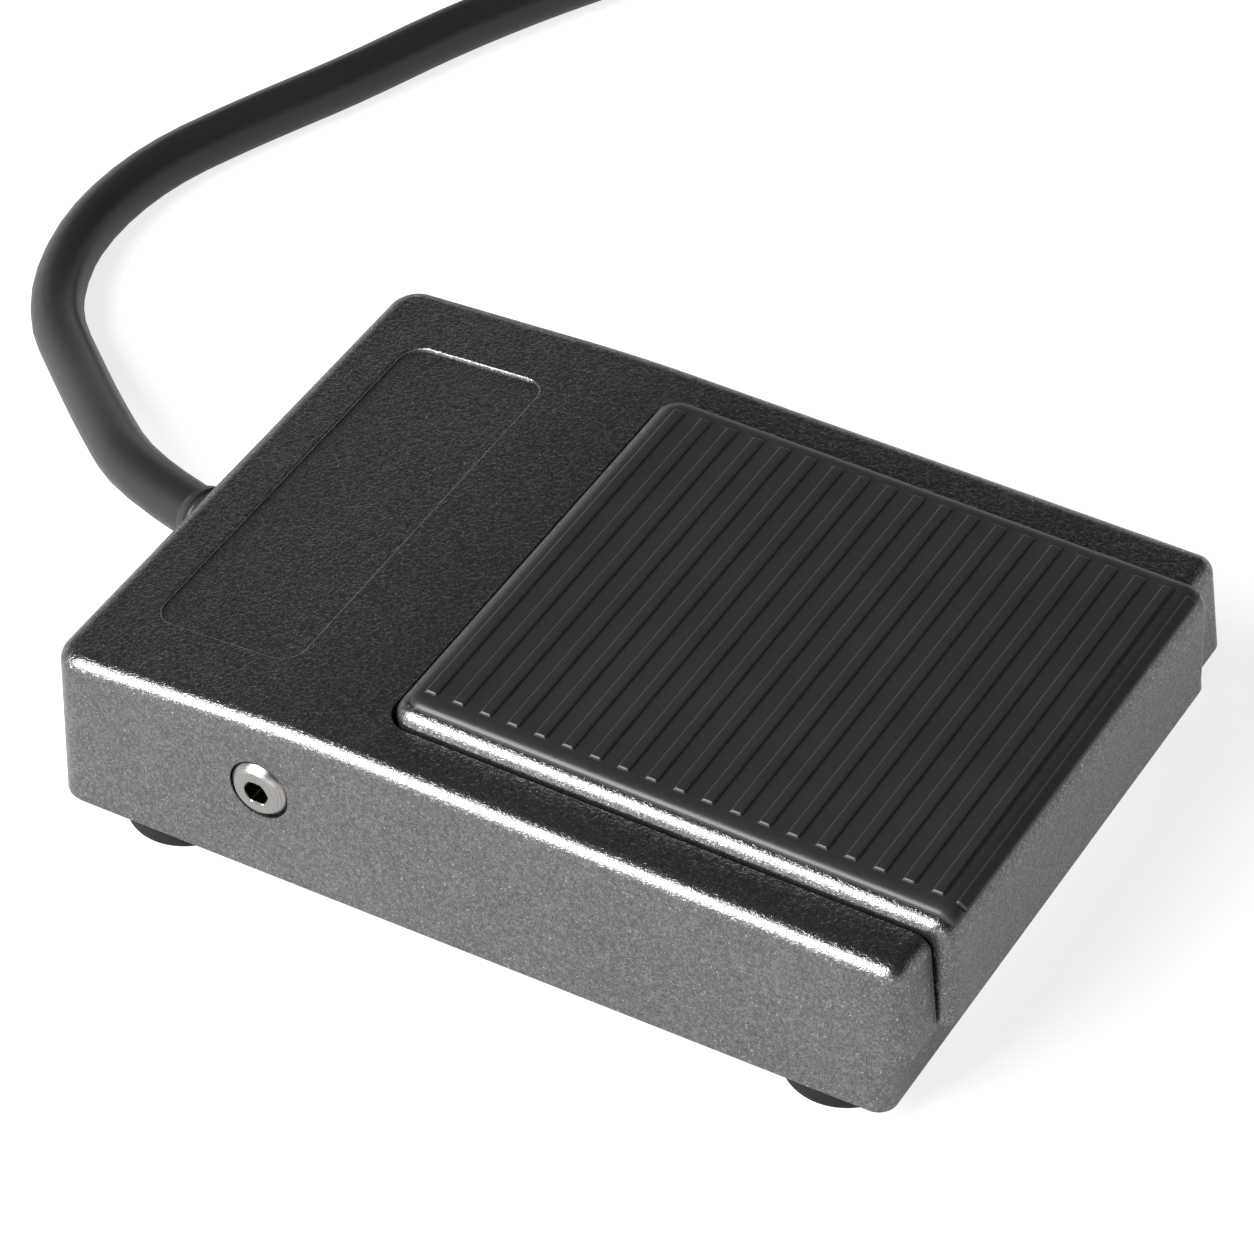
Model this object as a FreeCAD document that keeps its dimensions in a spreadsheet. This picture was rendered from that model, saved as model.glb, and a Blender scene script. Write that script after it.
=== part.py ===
import FreeCAD, Part
import Sketcher
import math
import os
from types import SimpleNamespace

# Foot pedal switch: a cast housing with a hinged, mat-covered pedal that works a
# snap-action switch. Lengths are in millimetres, angles in degrees. +Z is up, the
# pedal's toe end faces -Y and the cable leaves at +Y. Z = 0 is the floor.

Vector = FreeCAD.Vector
Rotation = FreeCAD.Rotation
Placement = FreeCAD.Placement

SIZES = {
    # housing
    "housing_width": 111.3,  # across the rim
    "housing_length": 158.9,  # ears to rear wall, at the rim
    "ground_clearance": 4.0,  # floor to rim
    "draft": 3.0,  # lean of the walls
    "wall": 3.0,
    "roof_thickness": 3.0,
    "ridge_height": 32.3,  # heights of the roof above the rim
    "front_roof_height": 29.8,
    "rear_roof_height": 29.7,
    "ridge_from_rear": 49.1,
    "ridge_round": 300.0,
    "edge_round": 3.0,  # along the roof's edge
    "rear_corner": 5.5,
    "front_corner": 3.2,
    "front_step": 3.4,  # ears stand proud of the lower front wall
    "ear_bottom": 11.2,  # above the rim
    "sill_height": 15.0,  # lower front wall's top, above the rim
    "lip_wall": 2.5,  # wall down beside the pedal
    "base_lip": 1.5,  # rim outside the base plate
    "label_width": 78.6,
    "label_length": 27.3,
    "label_from_rear": 12.1,
    "label_corner": 4.0,
    "label_depth": 0.5,
    "label_edge_round": 0.42,
    # base
    "plate_recess": 0.4,
    "plate_thickness": 1.6,
    "gasket_thickness": 1.0,
    "gasket_width": 2.0,
    "seat_gap": 0.15,  # base plate and gasket to the rim
    "base_boss_radius": 3.9,
    "base_screw_gap": 1.4,  # base screw's head to the gasket
    "foot_radius": 10.5,
    "foot_disc": 3.4,
    "foot_neck_radius": 8.2,
    "foot_edge_round": 0.7,
    "foot_side_inset": 11.05,
    "foot_rear_inset": 19.0,
    "foot_front_inset": 13.0,
    "foot_boss_radius": 4.0,
    "front_boss_height": 10.0,
    "screw_radius": 2.0,
    "screw_head_radius": 3.8,
    "screw_head_height": 2.2,
    "screw_key": 1.4,
    "screw_gap": 0.1,  # threads and clearance holes
    "foot_screw_length": 10.0,
    "foot_seat": 3.0,  # foot screw's head seat above the floor
    "thread_depth": 9.0,  # tapped holes in the bosses
    "gusset_width": 3.0,
    "collar_radius": 3.2,  # tapped collars under the base plate
    "collar_height": 1.8,
    "base_screw_length": 8.0,
    # pedal
    "pedal_width": 88.0,
    "pedal_length": 100.7,
    "pedal_setback": 18.34,  # pivot to the pedal's rear edge
    "pedal_slope": 1.47,
    "apron_overhang": 2.1,  # apron's face in front of the ears
    "pedal_height": 17.6,  # pivot axis to the pedal's top face
    "pedal_skin": 3.2,
    "apron_thickness": 3.6,
    "apron_height": 21.2,
    "skirt_height": 8.6,
    "skirt_thickness": 2.5,
    "pedal_front_round": 4.0,
    "pedal_edge_round": 2.6,
    "pedal_rear_corner": 4.2,
    "pedal_side_gap": 0.7,
    "pedal_rear_gap": 0.5,
    "arm_x": 34.0,
    "arm_thickness": 8.0,
    "arm_root": 31.0,  # pedal's rear edge to the arm's front end
    "arm_head_radius": 9.0,
    "arm_top": 8.6,
    "arm_root_depth": 3.4,
    "arm_rear_inset": 1.2,
    # tread mat
    "mat_width": 84.4,
    "mat_thickness": 1.3,
    "mat_rear_inset": 1.8,
    "mat_corner": 3.4,
    "mat_edge_round": 1.15,
    "mat_wrap": 50.0,  # turn of the mat over the front edge
    "rib_pitch": 5.0,
    "rib_width": 2.1,
    "rib_height": 0.5,
    "rib_length": 78.2,
    "rib_from_rear": 5.26,
    "nose_rib_turn": 30.0,
    # pivot
    "pivot_from_rear": 41.57,
    "pivot_height": 17.7,  # above the rim
    "shaft_radius": 5.0,
    "pivot_boss_radius": 8.0,
    "pivot_boss_length": 3.5,
    "shaft_seat": 1.5,
    "running_gap": 0.04,  # bush on shaft, radial
    "bush_wall": 1.4,
    "bush_flange_radius": 8.0,
    "bush_flange": 1.0,
    "press_gap": 0.02,
    "end_float": 0.3,
    "spacer_radius": 7.0,
    "pivot_thread_radius": 3.0,
    "pivot_screw_length": 16.0,
    "pivot_head_radius": 5.25,
    "pivot_head_height": 3.0,
    "pivot_head_chamfer": 1.2,
    "pivot_key": 2.31,
    "pivot_key_depth": 3.2,
    "pivot_head_proud": 0.85,
    "counterbore_gap": 0.25,
    # switch
    "case_length": 27.8,
    "case_width": 10.3,
    "case_height": 15.9,
    "case_lift": 0.4,
    "case_cover": 1.2,
    "case_from_pivot": 9.0,  # pivot axis to the case's rear end
    "case_hole_radius": 1.55,
    "case_hole_spacing": 22.2,
    "case_hole_height": 4.2,
    "lever_inset": 2.5,
    "lever_height": 1.4,  # lever pin above the case
    "lever_length": 24.0,
    "lever_tip_rise": 1.9,
    "lever_thickness": 0.5,
    "lever_width": 4.2,
    "lever_pin_radius": 0.45,
    "lever_eye_radius": 0.95,
    "lever_pin_length": 6.4,
    "pin_ear_thickness": 0.8,
    "pin_ear_length": 2.6,
    "pin_ear_rise": 1.2,  # above the pin
    "plunger_from_pin": 8.0,
    "plunger_radius": 1.5,
    "plunger_gap": 0.2,
    "plunger_depth": 4.0,  # plunger's end inside the case
    "blade_width": 4.8,
    "blade_thickness": 0.5,
    "blade_length": 6.4,
    "blade_step": 3.0,
    "blade_lift": 2.2,  # lowest blade above the case's underside
    "receptacle_width": 6.2,
    "receptacle_length": 11.8,
    "receptacle_height": 2.2,
    "receptacle_gap": 0.7,  # case to receptacle
    "bracket_thickness": 1.5,
    "bracket_foot": 12.0,
    "bracket_length": 24.0,
    "bracket_height": 13.5,
    "bracket_screw_x": 12.4,
    "bracket_screw_spacing": 15.0,
    "small_screw_radius": 1.5,
    "small_head_radius": 2.75,
    "small_head_height": 2.0,
    "small_key": 1.15,
    "actuator_radius": 2.0,
    "actuator_boss_radius": 5.0,
    "actuator_boss": 5.0,
    "actuator_gap": 0.35,
    "actuator_point": 0.6,
    "locknut_radius": 4.04,
    "locknut_height": 2.4,
    # return spring and stops
    "spring_from_pivot": 83.9,
    "spring_radius": 5.3,
    "spring_wire": 0.7,
    "spring_turns": 8.0,
    "spring_gap": 0.25,
    "seat_radius": 7.5,
    "seat_thickness": 1.2,
    "seat_pin_radius": 4.2,
    "seat_pin_height": 6.0,
    "spring_boss_radius": 3.4,
    "spring_boss": 4.0,
    "stop_from_front": 16.93,
    "stop_x": 25.0,
    "stop_radius": 6.0,
    "stop_boss_radius": 5.0,
    "stop_boss": 10.4,
    "stop_height": 10.85,
    "stop_round": 1.0,
    "stop_spigot": 2.0,
    "rebound_length": 8.0,
    "rebound_inset": 1.3,
    "rebound_gap": 0.3,
    # cable entry
    "cable_diameter": 9.8,
    "cable_height": 17.0,  # above the floor
    "grommet_radius": 7.4,
    "grommet_tip_radius": 6.0,
    "grommet_tail": 7.5,
    "grommet_collar": 1.0,
    "grommet_flange_radius": 9.6,
    "grommet_flange": 2.0,
    "cable_fit": 0.1,
    "saddle_length": 8.0,
    "saddle_width": 30.0,
    "saddle_from_wall": 5.5,
    "clamp_gap": 0.8,
    "clamp_thickness": 3.0,
    "clamp_screw_inset": 4.0,
    "sheath_end": 20.0,  # inside end of the sheath, from the rear wall's inner face
    "core_radius": 1.4,
    "core_circle": 2.6,  # cores about the sheath's centre
    "core_straight": 3.4,
    "live_run": 6.0,  # straight run into the receptacle
    "switched_run": 3.5,
    "earth_x": 22.0,
    "earth_from_pivot": 11.07,
    "lug_radius": 4.4,
    "lug_thickness": 0.8,
    "lug_barrel_radius": 1.9,
    "lug_barrel_length": 3.7,
    "lug_barrel_x": 14.5,
    # free cable, coil and plug
    "coil_diameter": 108.0,  # across the middle of its turns
    "layer_turns": 2.25,  # turns in each of the coil's two layers
    "climb_turns": 0.5,
    "coil_step": 10.5,
    "coil_lift": 0.9,
    "tie_thickness": 0.8,
    "tie_width": 14.0,
    "plug_radius": 9.5,
    "plug_length": 32.0,
    "plug_ring_radius": 11.5,
    "plug_ring_length": 14.0,
    "plug_boot_length": 24.0,
    "plug_wall": 1.1,
    "socket_radius": 1.25,
    "socket_bore": 0.8,
    "socket_circle": 4.5,
}

FLAT_RIBS = 19

ROUTE = [  # free cable's centre line, from the grommet's tip to the coil; y from the rear wall
    (1.2, 7.8, 17.0),
    (5.0, 26.0, 15.2),
    (16.5, 42.0, 11.8),
    (30.0, 57.5, 8.0),
    (46.5, 72.7, 5.4),
    (67.5, 81.7, 4.95),
    (90.5, 81.3, 4.95),
    (111.0, 72.9, 4.95),
    (131.5, 62.5, 5.1),
    (153.5, 53.5, 5.4),
    (177.0, 41.0, 5.6),
    (199.0, 26.0, 5.8),
    (219.5, 14.5, 5.8),
]
TAIL_RUNS = [  # cable from the coil's end to the plug: length, turn to the right, fall
    (22.0, 0.0, 0.4),
    (22.0, 16.2, 3.6),
    (20.0, 14.0, 0.6),
]


class Size:
    # a measure that keeps both its value and the sheet formula that gives it
    def __init__(self, value, formula):
        self.value = value
        self.formula = formula

    def merge(self, other, sign, value, swap=False):
        parts = [self.formula, formula(other)]
        if swap:
            parts.reverse()
        return Size(value, f"({parts[0]} {sign} {parts[1]})")

    def __add__(self, other):
        return self.merge(other, "+", self.value + number(other))

    def __radd__(self, other):
        return self.merge(other, "+", self.value + number(other))

    def __sub__(self, other):
        return self.merge(other, "-", self.value - number(other))

    def __rsub__(self, other):
        return self.merge(other, "-", number(other) - self.value, swap=True)

    def __mul__(self, other):
        return self.merge(other, "*", self.value * number(other))

    def __rmul__(self, other):
        return self.merge(other, "*", self.value * number(other))

    def __truediv__(self, other):
        return self.merge(other, "/", self.value / number(other))

    def __neg__(self):
        return Size(-self.value, f"(-1 * {self.formula})")


def number(size):
    return size.value if isinstance(size, Size) else float(size)


def formula(size):
    return size.formula if isinstance(size, Size) else repr(float(size))


def tangent(angle):
    return Size(math.tan(math.radians(number(angle))), f"tan({formula(angle)})")


def sine(angle):
    return Size(math.sin(math.radians(number(angle))), f"sin({formula(angle)})")


def cosine(angle):
    return Size(math.cos(math.radians(number(angle))), f"cos({formula(angle)})")


def arctangent(slope):
    return Size(math.degrees(math.atan(number(slope))), f"atan({formula(slope)})")


doc = FreeCAD.newDocument("foot_pedal_switch")
sheet = doc.addObject("Spreadsheet::Sheet", "sizes")
for row, (name, value) in enumerate(SIZES.items(), start=1):
    sheet.set(f"A{row}", name)
    sheet.set(f"B{row}", str(value))
    sheet.setAlias(f"B{row}", name)
doc.recompute()
d = SimpleNamespace(**{name: Size(value, f"sizes.{name}") for name, value in SIZES.items()})

# Places worked out from the sizes

half_width = d.housing_width / 2
rear_y = (d.housing_length + d.apron_overhang) / 2
ear_y = rear_y - d.housing_length
lower_front_y = ear_y + d.front_step
rim_z = d.ground_clearance
sill_z = rim_z + d.sill_height
lip_z = rim_z + d.ear_bottom
ridge_y = rear_y - d.ridge_from_rear
rim_wall = d.wall + tangent(d.draft) * d.ridge_height
inner_half = half_width - rim_wall
inner_rear_y = rear_y - rim_wall
inner_front_y = lower_front_y + d.wall + tangent(d.draft) * d.sill_height
pivot_y = rear_y - d.pivot_from_rear
pivot_z = rim_z + d.pivot_height
opening_half = d.pedal_width / 2 + d.pedal_side_gap
opening_rear_y = pivot_y - d.pedal_setback + d.pedal_rear_gap
plate_z = rim_z + d.plate_recess
plate_top_z = plate_z + d.plate_thickness
ledge_z = plate_top_z + d.gasket_thickness
foot_x = half_width - d.foot_side_inset
foot_rear_y = rear_y - d.foot_rear_inset
foot_front_y = lower_front_y + d.foot_front_inset
gasket_half = half_width - d.base_lip - d.seat_gap - d.gasket_width
base_boss_x = gasket_half - d.base_screw_gap - d.screw_head_radius
above_z = rim_z + d.ridge_height + 8


front_slope = (d.ridge_height - d.front_roof_height) / (ridge_y - ear_y)
rear_slope = (d.ridge_height - d.rear_roof_height) / (rear_y - ridge_y)


def roof_front_z(y):
    return rim_z + d.front_roof_height + front_slope * (y - ear_y)


def roof_rear_z(y):
    return rim_z + d.rear_roof_height + rear_slope * (rear_y - y)

boss_face_x = inner_half - d.pivot_boss_length
pivot_seat_x = half_width - tangent(d.draft) * d.pivot_height + d.pivot_head_proud - d.pivot_head_height
bush_outside = d.shaft_radius + d.running_gap + d.bush_wall
case_rear_y = pivot_y - d.case_from_pivot
case_z = plate_top_z + d.case_lift
case_top_z = case_z + d.case_height
lever_pin_y = case_rear_y - d.lever_inset
lever_pin_z = case_top_z + d.lever_height
plunger_y = lever_pin_y - d.plunger_from_pin
plunger_rise = d.plunger_from_pin * d.lever_tip_rise / d.lever_length
plunger_top_z = lever_pin_z + plunger_rise - d.lever_thickness / 2 - d.plunger_gap
contact_y = lever_pin_y - d.lever_length
slope_tan = tangent(d.pedal_slope)
actuator_y = contact_y - pivot_y
lever_top_z = lever_pin_z + d.lever_tip_rise + d.lever_thickness / 2
actuator_tip_z = lever_top_z + d.actuator_gap - pivot_z - actuator_y * slope_tan
actuator_top_z = d.pedal_height - d.pedal_skin + 1
saddle_y = inner_rear_y - d.saddle_from_wall - d.saddle_length / 2
clamp_screw_x = d.saddle_width / 2 - d.clamp_screw_inset
under_z = d.pedal_height - d.pedal_skin
spring_y = pivot_y - d.spring_from_pivot * cosine(d.pedal_slope) - under_z * sine(d.pedal_slope)
spring_top_z = pivot_z - d.spring_from_pivot * sine(d.pedal_slope) + under_z - d.spring_gap
stop_y = lower_front_y + d.stop_from_front
earth_y = pivot_y + d.earth_from_pivot
lug_barrel_z = plate_top_z + d.lug_barrel_radius + 0.1
rebound_y = -d.pedal_setback + d.rebound_inset + d.rebound_length
roof_under_z = roof_front_z(pivot_y + rebound_y) - d.roof_thickness - pivot_z
rebound_top_z = roof_under_z - rebound_y * slope_tan - d.rebound_gap


# Shared ways of making shapes

nodes = {}


def bind(thing, **sizes):
    for name, size in sizes.items():
        thing.setExpression(name.replace("__", "."), formula(size))


def keep(name, thing):
    thing.Label = name
    nodes[name] = thing
    return thing


def place(thing, x=0, y=0, z=0, axis="Z"):
    turns = {
        "Z": Rotation(),
        "-Z": Rotation(Vector(1, 0, 0), 180),
        "X": Rotation(Vector(0, 1, 0), 90),
        "-X": Rotation(Vector(0, 1, 0), -90),
        "Y": Rotation(Vector(1, 0, 0), -90),
    }
    thing.Placement = Placement(Vector(number(x), number(y), number(z)), turns[axis])
    bind(thing, Placement__Base__x=x, Placement__Base__y=y, Placement__Base__z=z)
    return thing


def on_pedal(thing):
    # the pedal's pieces are drawn level about the pivot, then tilted with the pedal
    thing.Placement = Placement(
        Vector(0, number(pivot_y), number(pivot_z)),
        Rotation(Vector(1, 0, 0), number(d.pedal_slope)),
    )
    bind(thing, Placement__Base__y=pivot_y, Placement__Base__z=pivot_z)
    bind(thing, Placement__Rotation__Angle=d.pedal_slope)
    return thing


def rod(name, radius, length, x=0, y=0, z=0, axis="Z"):
    thing = doc.addObject("Part::Cylinder", name)
    bind(thing, Radius=radius, Height=length)
    return place(thing, x, y, z, axis)


def cone(name, radius, end_radius, length, x=0, y=0, z=0, axis="Z"):
    thing = doc.addObject("Part::Cone", name)
    bind(thing, Radius1=radius, Radius2=end_radius, Height=length)
    return place(thing, x, y, z, axis)


def block(name, wide, deep, tall, x, y, z):
    # x and y are the middle of the block, z its underside
    thing = doc.addObject("Part::Box", name)
    bind(thing, Length=wide, Width=deep, Height=tall)
    return place(thing, x - wide / 2, y - deep / 2, z)


def hexagon(name, corner_radius, length, x=0, y=0, z=0, axis="Z"):
    thing = doc.addObject("Part::Prism", name)
    thing.Polygon = 6
    bind(thing, Circumradius=corner_radius, Height=length)
    return place(thing, x, y, z, axis)


def joined(name, *things):
    thing = doc.addObject("Part::MultiFuse", name)
    thing.Shapes = list(things)
    thing.Refine = True
    return thing


def cut(name, base, *tools):
    thing = doc.addObject("Part::Cut", name)
    thing.Base = base
    thing.Tool = tools[0] if len(tools) == 1 else joined(name + "_tools", *tools)
    return thing


def group(name, things):
    thing = doc.addObject("Part::Compound", name)
    thing.Links = things
    return keep(name, thing)


def screw(name, head, shank, key, x=0, y=0, z=0, axis="Z"):
    # head and shank are (radius, length); the head's seat is at z and its top faces axis
    top = rod(name + "_head", head[0], head[1])
    stem = rod(name + "_shank", shank[0], shank[1], 0, 0, -shank[1])
    socket = hexagon(name + "_key", key, head[1], 0, 0, head[1] * 0.45)
    return place(cut(name, joined(name + "_blank", top, stem), socket), x, y, z, axis)


def body(name):
    thing = doc.addObject("PartDesign::Body", name)
    return keep(name, thing)


def sketch_on(owner, role, name, offset=0):
    sketch = owner.newObject("Sketcher::SketchObject", name)
    plane = next(f for f in owner.Origin.OriginFeatures if f.Role == role)
    sketch.AttachmentSupport = [(plane, "")]
    sketch.MapMode = "FlatFace"
    sketch.AttachmentOffset = Placement(Vector(0, 0, number(offset)), Rotation())
    bind(sketch, AttachmentOffset__Base__z=offset)
    return sketch


def fix(sketch, kind, name, geometry, point, size):
    if point is None:
        rule = Sketcher.Constraint(kind, geometry, number(size))
    else:
        rule = Sketcher.Constraint(kind, geometry, point, number(size))
    index = sketch.addConstraint(rule)
    sketch.renameConstraint(index, name)
    bind(sketch, **{f"Constraints__{name}": size})


def outline(owner, role, name, corners, offset=0, bends=None):
    # a closed outline; bends gives, for a corner's index, the radius of the arc that runs
    # from it to the next corner, positive where the arc's middle bows out to the right
    sketch = sketch_on(owner, role, name, offset)
    bends = bends or {}
    points = [Vector(number(x), number(y), 0) for x, y in corners]
    count = len(points)
    ends = {}
    for i, start in enumerate(points):
        end = points[(i + 1) % count]
        if i not in bends:
            sketch.addGeometry(Part.LineSegment(start, end), False)
            ends[i] = (1, 2)
            continue
        radius = number(bends[i])
        chord = end - start
        right = Vector(chord.y, -chord.x, 0).normalize()
        side = 1 if radius > 0 else -1
        sagitta = abs(radius) - math.sqrt(radius**2 - (chord.Length / 2) ** 2)
        middle = (start + end) / 2 + right * side * sagitta
        sketch.addGeometry(Part.Arc(start, middle, end), False)
        ends[i] = (1, 2) if side > 0 else (2, 1)
    for i in range(count):
        after = (i + 1) % count
        sketch.addConstraint(Sketcher.Constraint("Coincident", i, ends[i][1], after, ends[after][0]))
    for i, (x, y) in enumerate(corners):
        fix(sketch, "DistanceX", f"x{i}", i, ends[i][0], x)
        fix(sketch, "DistanceY", f"y{i}", i, ends[i][0], y)
    for i, radius in bends.items():
        fix(sketch, "Radius", f"bend{i}", i, None, radius if number(radius) > 0 else -radius)
    return sketch


def rectangle(owner, role, name, x_low, x_high, y_low, y_high, offset=0):
    corners = [(x_low, y_low), (x_high, y_low), (x_high, y_high), (x_low, y_high)]
    return outline(owner, role, name, corners, offset)


def circles(owner, role, name, rounds, offset=0):
    # rounds is a list of (x, y, radius)
    sketch = sketch_on(owner, role, name, offset)
    for i, (x, y, radius) in enumerate(rounds):
        centre = Vector(number(x), number(y), 0)
        sketch.addGeometry(Part.Circle(centre, Vector(0, 0, 1), number(radius)), False)
        fix(sketch, "DistanceX", f"x{i}", i, 3, x)
        fix(sketch, "DistanceY", f"y{i}", i, 3, y)
        fix(sketch, "Radius", f"r{i}", i, None, radius)
    return sketch


def swept(owner, kind, name, sketch, length, reverse=False, both=False, taper=None):
    # a Pad or Pocket; a pocket has to take something away and a pad to add something
    before = owner.Tip.Shape.Volume if owner.Tip else 0.0
    feature = owner.newObject("PartDesign::" + kind, name)
    feature.Profile = sketch
    feature.Reversed = reverse
    feature.SideType = "Symmetric" if both else "One side"
    bind(feature, Length=length)
    if taper is not None:
        bind(feature, TaperAngle=taper)
    owner.Tip = feature
    doc.recompute()
    change = feature.Shape.Volume - before
    if (change <= 0) == (kind == "Pad"):
        raise ValueError(f"{owner.Label}.{name} changes the volume by {change:.3f}")
    return feature


def pad(owner, name, sketch, length, **options):
    return swept(owner, "Pad", name, sketch, length, **options)


def pocket(owner, name, sketch, length, **options):
    return swept(owner, "Pocket", name, sketch, length, **options)


def mirrored(owner, name, *features):
    feature = owner.newObject("PartDesign::Mirrored", name)
    feature.Originals = list(features)
    feature.MirrorPlane = (next(f for f in owner.Origin.OriginFeatures if f.Role == "YZ_Plane"), [""])
    owner.Tip = feature
    doc.recompute()
    return feature


def rounded(owner, name, radius, chosen):
    # fillets the edges of the body that the chosen test picks
    base = owner.Tip
    picked = [f"Edge{i}" for i, edge in enumerate(base.Shape.Edges, start=1) if chosen(edge)]
    if not picked:
        raise ValueError(f"{owner.Label}.{name} finds no edge")
    feature = owner.newObject("PartDesign::Fillet", name)
    feature.Base = (base, picked)
    bind(feature, Radius=radius)
    owner.Tip = feature
    doc.recompute()
    return feature


def revolved(owner, name, corners, bends=None):
    # corners are (radius, height) about the body's own Z axis
    sketch = outline(owner, "XZ_Plane", name + "_outline", corners, bends=bends)
    feature = owner.newObject("PartDesign::Revolution", name)
    feature.Profile = sketch
    feature.ReferenceAxis = (sketch, ["V_Axis"])
    feature.Angle = 360
    owner.Tip = feature
    doc.recompute()
    return feature


def near(value, size, slack=0.05):
    return abs(value - number(size)) < slack


def upright(edge, least=1.0):
    # an edge that stands up, within the walls' draft
    box = edge.BoundBox
    return box.ZLength > least and max(box.XLength, box.YLength) < 0.12 * box.ZLength


# Housing


def rounded_box(half, y_low, y_high, low_radius, high_radius):
    corners = [
        (-half + low_radius, y_low),
        (half - low_radius, y_low),
        (half, y_low + low_radius),
        (half, y_high - high_radius),
        (half - high_radius, y_high),
        (-half + high_radius, y_high),
        (-half, y_high - high_radius),
        (-half, y_low + low_radius),
    ]
    return corners, {1: low_radius, 3: high_radius, 5: high_radius, 7: low_radius}


def housing_shell(cover):
    lean = tangent(d.draft)
    foot = rectangle(cover, "XY_Plane", "footprint", -half_width, half_width, ear_y, rear_y, rim_z)
    pad(cover, "shell", foot, d.ridge_height + 2, taper=-d.draft)
    rounded(cover, "front_corners", d.front_corner, lambda e: upright(e, 20) and e.CenterOfMass.y < 0)
    rounded(cover, "rear_corners", d.rear_corner, lambda e: upright(e, 20) and e.CenterOfMass.y > 0)

    # below the ears the front wall steps back
    wide = half_width + 5
    corners = [
        (-wide, ear_y - 5),
        (wide, ear_y - 5),
        (wide, lower_front_y + d.front_corner),
        (half_width, lower_front_y + d.front_corner),
        (half_width - d.front_corner, lower_front_y),
        (-half_width + d.front_corner, lower_front_y),
        (-half_width, lower_front_y + d.front_corner),
        (-wide, lower_front_y + d.front_corner),
    ]
    bends = {3: -d.front_corner, 5: -d.front_corner}
    step = outline(cover, "XY_Plane", "front_step_outline", corners, rim_z, bends)
    pocket(cover, "front_step", step, d.ear_bottom, reverse=True, taper=d.draft)

    ridge_leg = d.ridge_round * (front_slope + rear_slope) / 2
    over = [
        (ear_y - 5, roof_front_z(ear_y - 5)),
        (ridge_y - ridge_leg, roof_front_z(ridge_y - ridge_leg)),
        (ridge_y + ridge_leg, roof_rear_z(ridge_y + ridge_leg)),
        (rear_y + 5, roof_rear_z(rear_y + 5)),
        (rear_y + 5, above_z),
        (ear_y - 5, above_z),
    ]
    roof = outline(cover, "YZ_Plane", "roof_outline", over, bends={1: -d.ridge_round})
    pocket(cover, "roof", roof, d.housing_width + 4, both=True)
    side_x = number(half_width) - 6
    rounded(
        cover,
        "roof_edge",
        d.edge_round,
        lambda e: e.CenterOfMass.z > number(rim_z + d.rear_roof_height) - 2
        and (
            abs(e.CenterOfMass.x) > side_x
            or e.CenterOfMass.y > number(rear_y) - 6
            or e.CenterOfMass.y < number(ear_y) + 6
        ),
    )

    # opening for the pedal, between the ears
    wall_y = lower_front_y + lean * d.ear_bottom
    gap = [
        (ear_y - 5, lip_z),
        (wall_y, lip_z),
        (wall_y + lean * (d.sill_height - d.ear_bottom), sill_z),
        (inner_front_y, sill_z),
        (inner_front_y, lip_z - 1),
        (opening_rear_y, lip_z - 1),
        (opening_rear_y, above_z),
        (ear_y - 5, above_z),
    ]
    opening = outline(cover, "YZ_Plane", "opening_outline", gap)
    pocket(cover, "opening", opening, opening_half * 2, both=True)
    rounded(
        cover,
        "opening_corners",
        d.pedal_rear_corner + d.pedal_rear_gap,
        lambda e: upright(e, 10)
        and near(e.CenterOfMass.y, opening_rear_y)
        and near(abs(e.CenterOfMass.x), opening_half),
    )


def housing_chambers(cover):
    low = rectangle(
        cover, "XY_Plane", "chamber", -inner_half, inner_half, inner_front_y, inner_rear_y, rim_z
    )
    pocket(cover, "lower_chamber", low, d.ear_bottom, reverse=True)

    start_y = opening_rear_y - 1
    high = [
        (start_y, lip_z - 1),
        (inner_rear_y, lip_z - 1),
        (inner_rear_y, roof_rear_z(inner_rear_y) - d.roof_thickness),
        (ridge_y, rim_z + d.ridge_height - d.roof_thickness),
        (start_y, roof_front_z(start_y) - d.roof_thickness),
    ]
    rear = outline(cover, "YZ_Plane", "rear_chamber_outline", high)
    pocket(cover, "rear_chamber", rear, inner_half * 2, both=True)

    lip_x = opening_half + d.lip_wall
    side = [
        (inner_front_y, lip_z - 1),
        (start_y + 1, lip_z - 1),
        (start_y + 1, roof_front_z(start_y + 1) - d.roof_thickness),
        (inner_front_y, roof_front_z(inner_front_y) - d.roof_thickness),
    ]
    channel = outline(cover, "YZ_Plane", "ear_channel_outline", side, lip_x)
    hollow = pocket(cover, "ear_channel", channel, inner_half - lip_x, reverse=True)
    mirrored(cover, "ear_channels", hollow)

    corners, bends = rounded_box(
        half_width - d.base_lip,
        lower_front_y + d.base_lip,
        rear_y - d.base_lip,
        d.front_corner - d.base_lip,
        d.rear_corner - d.base_lip,
    )
    rebate = outline(cover, "XY_Plane", "rebate_outline", corners, rim_z, bends)
    pocket(cover, "rebate", rebate, ledge_z - rim_z, reverse=True)


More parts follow.
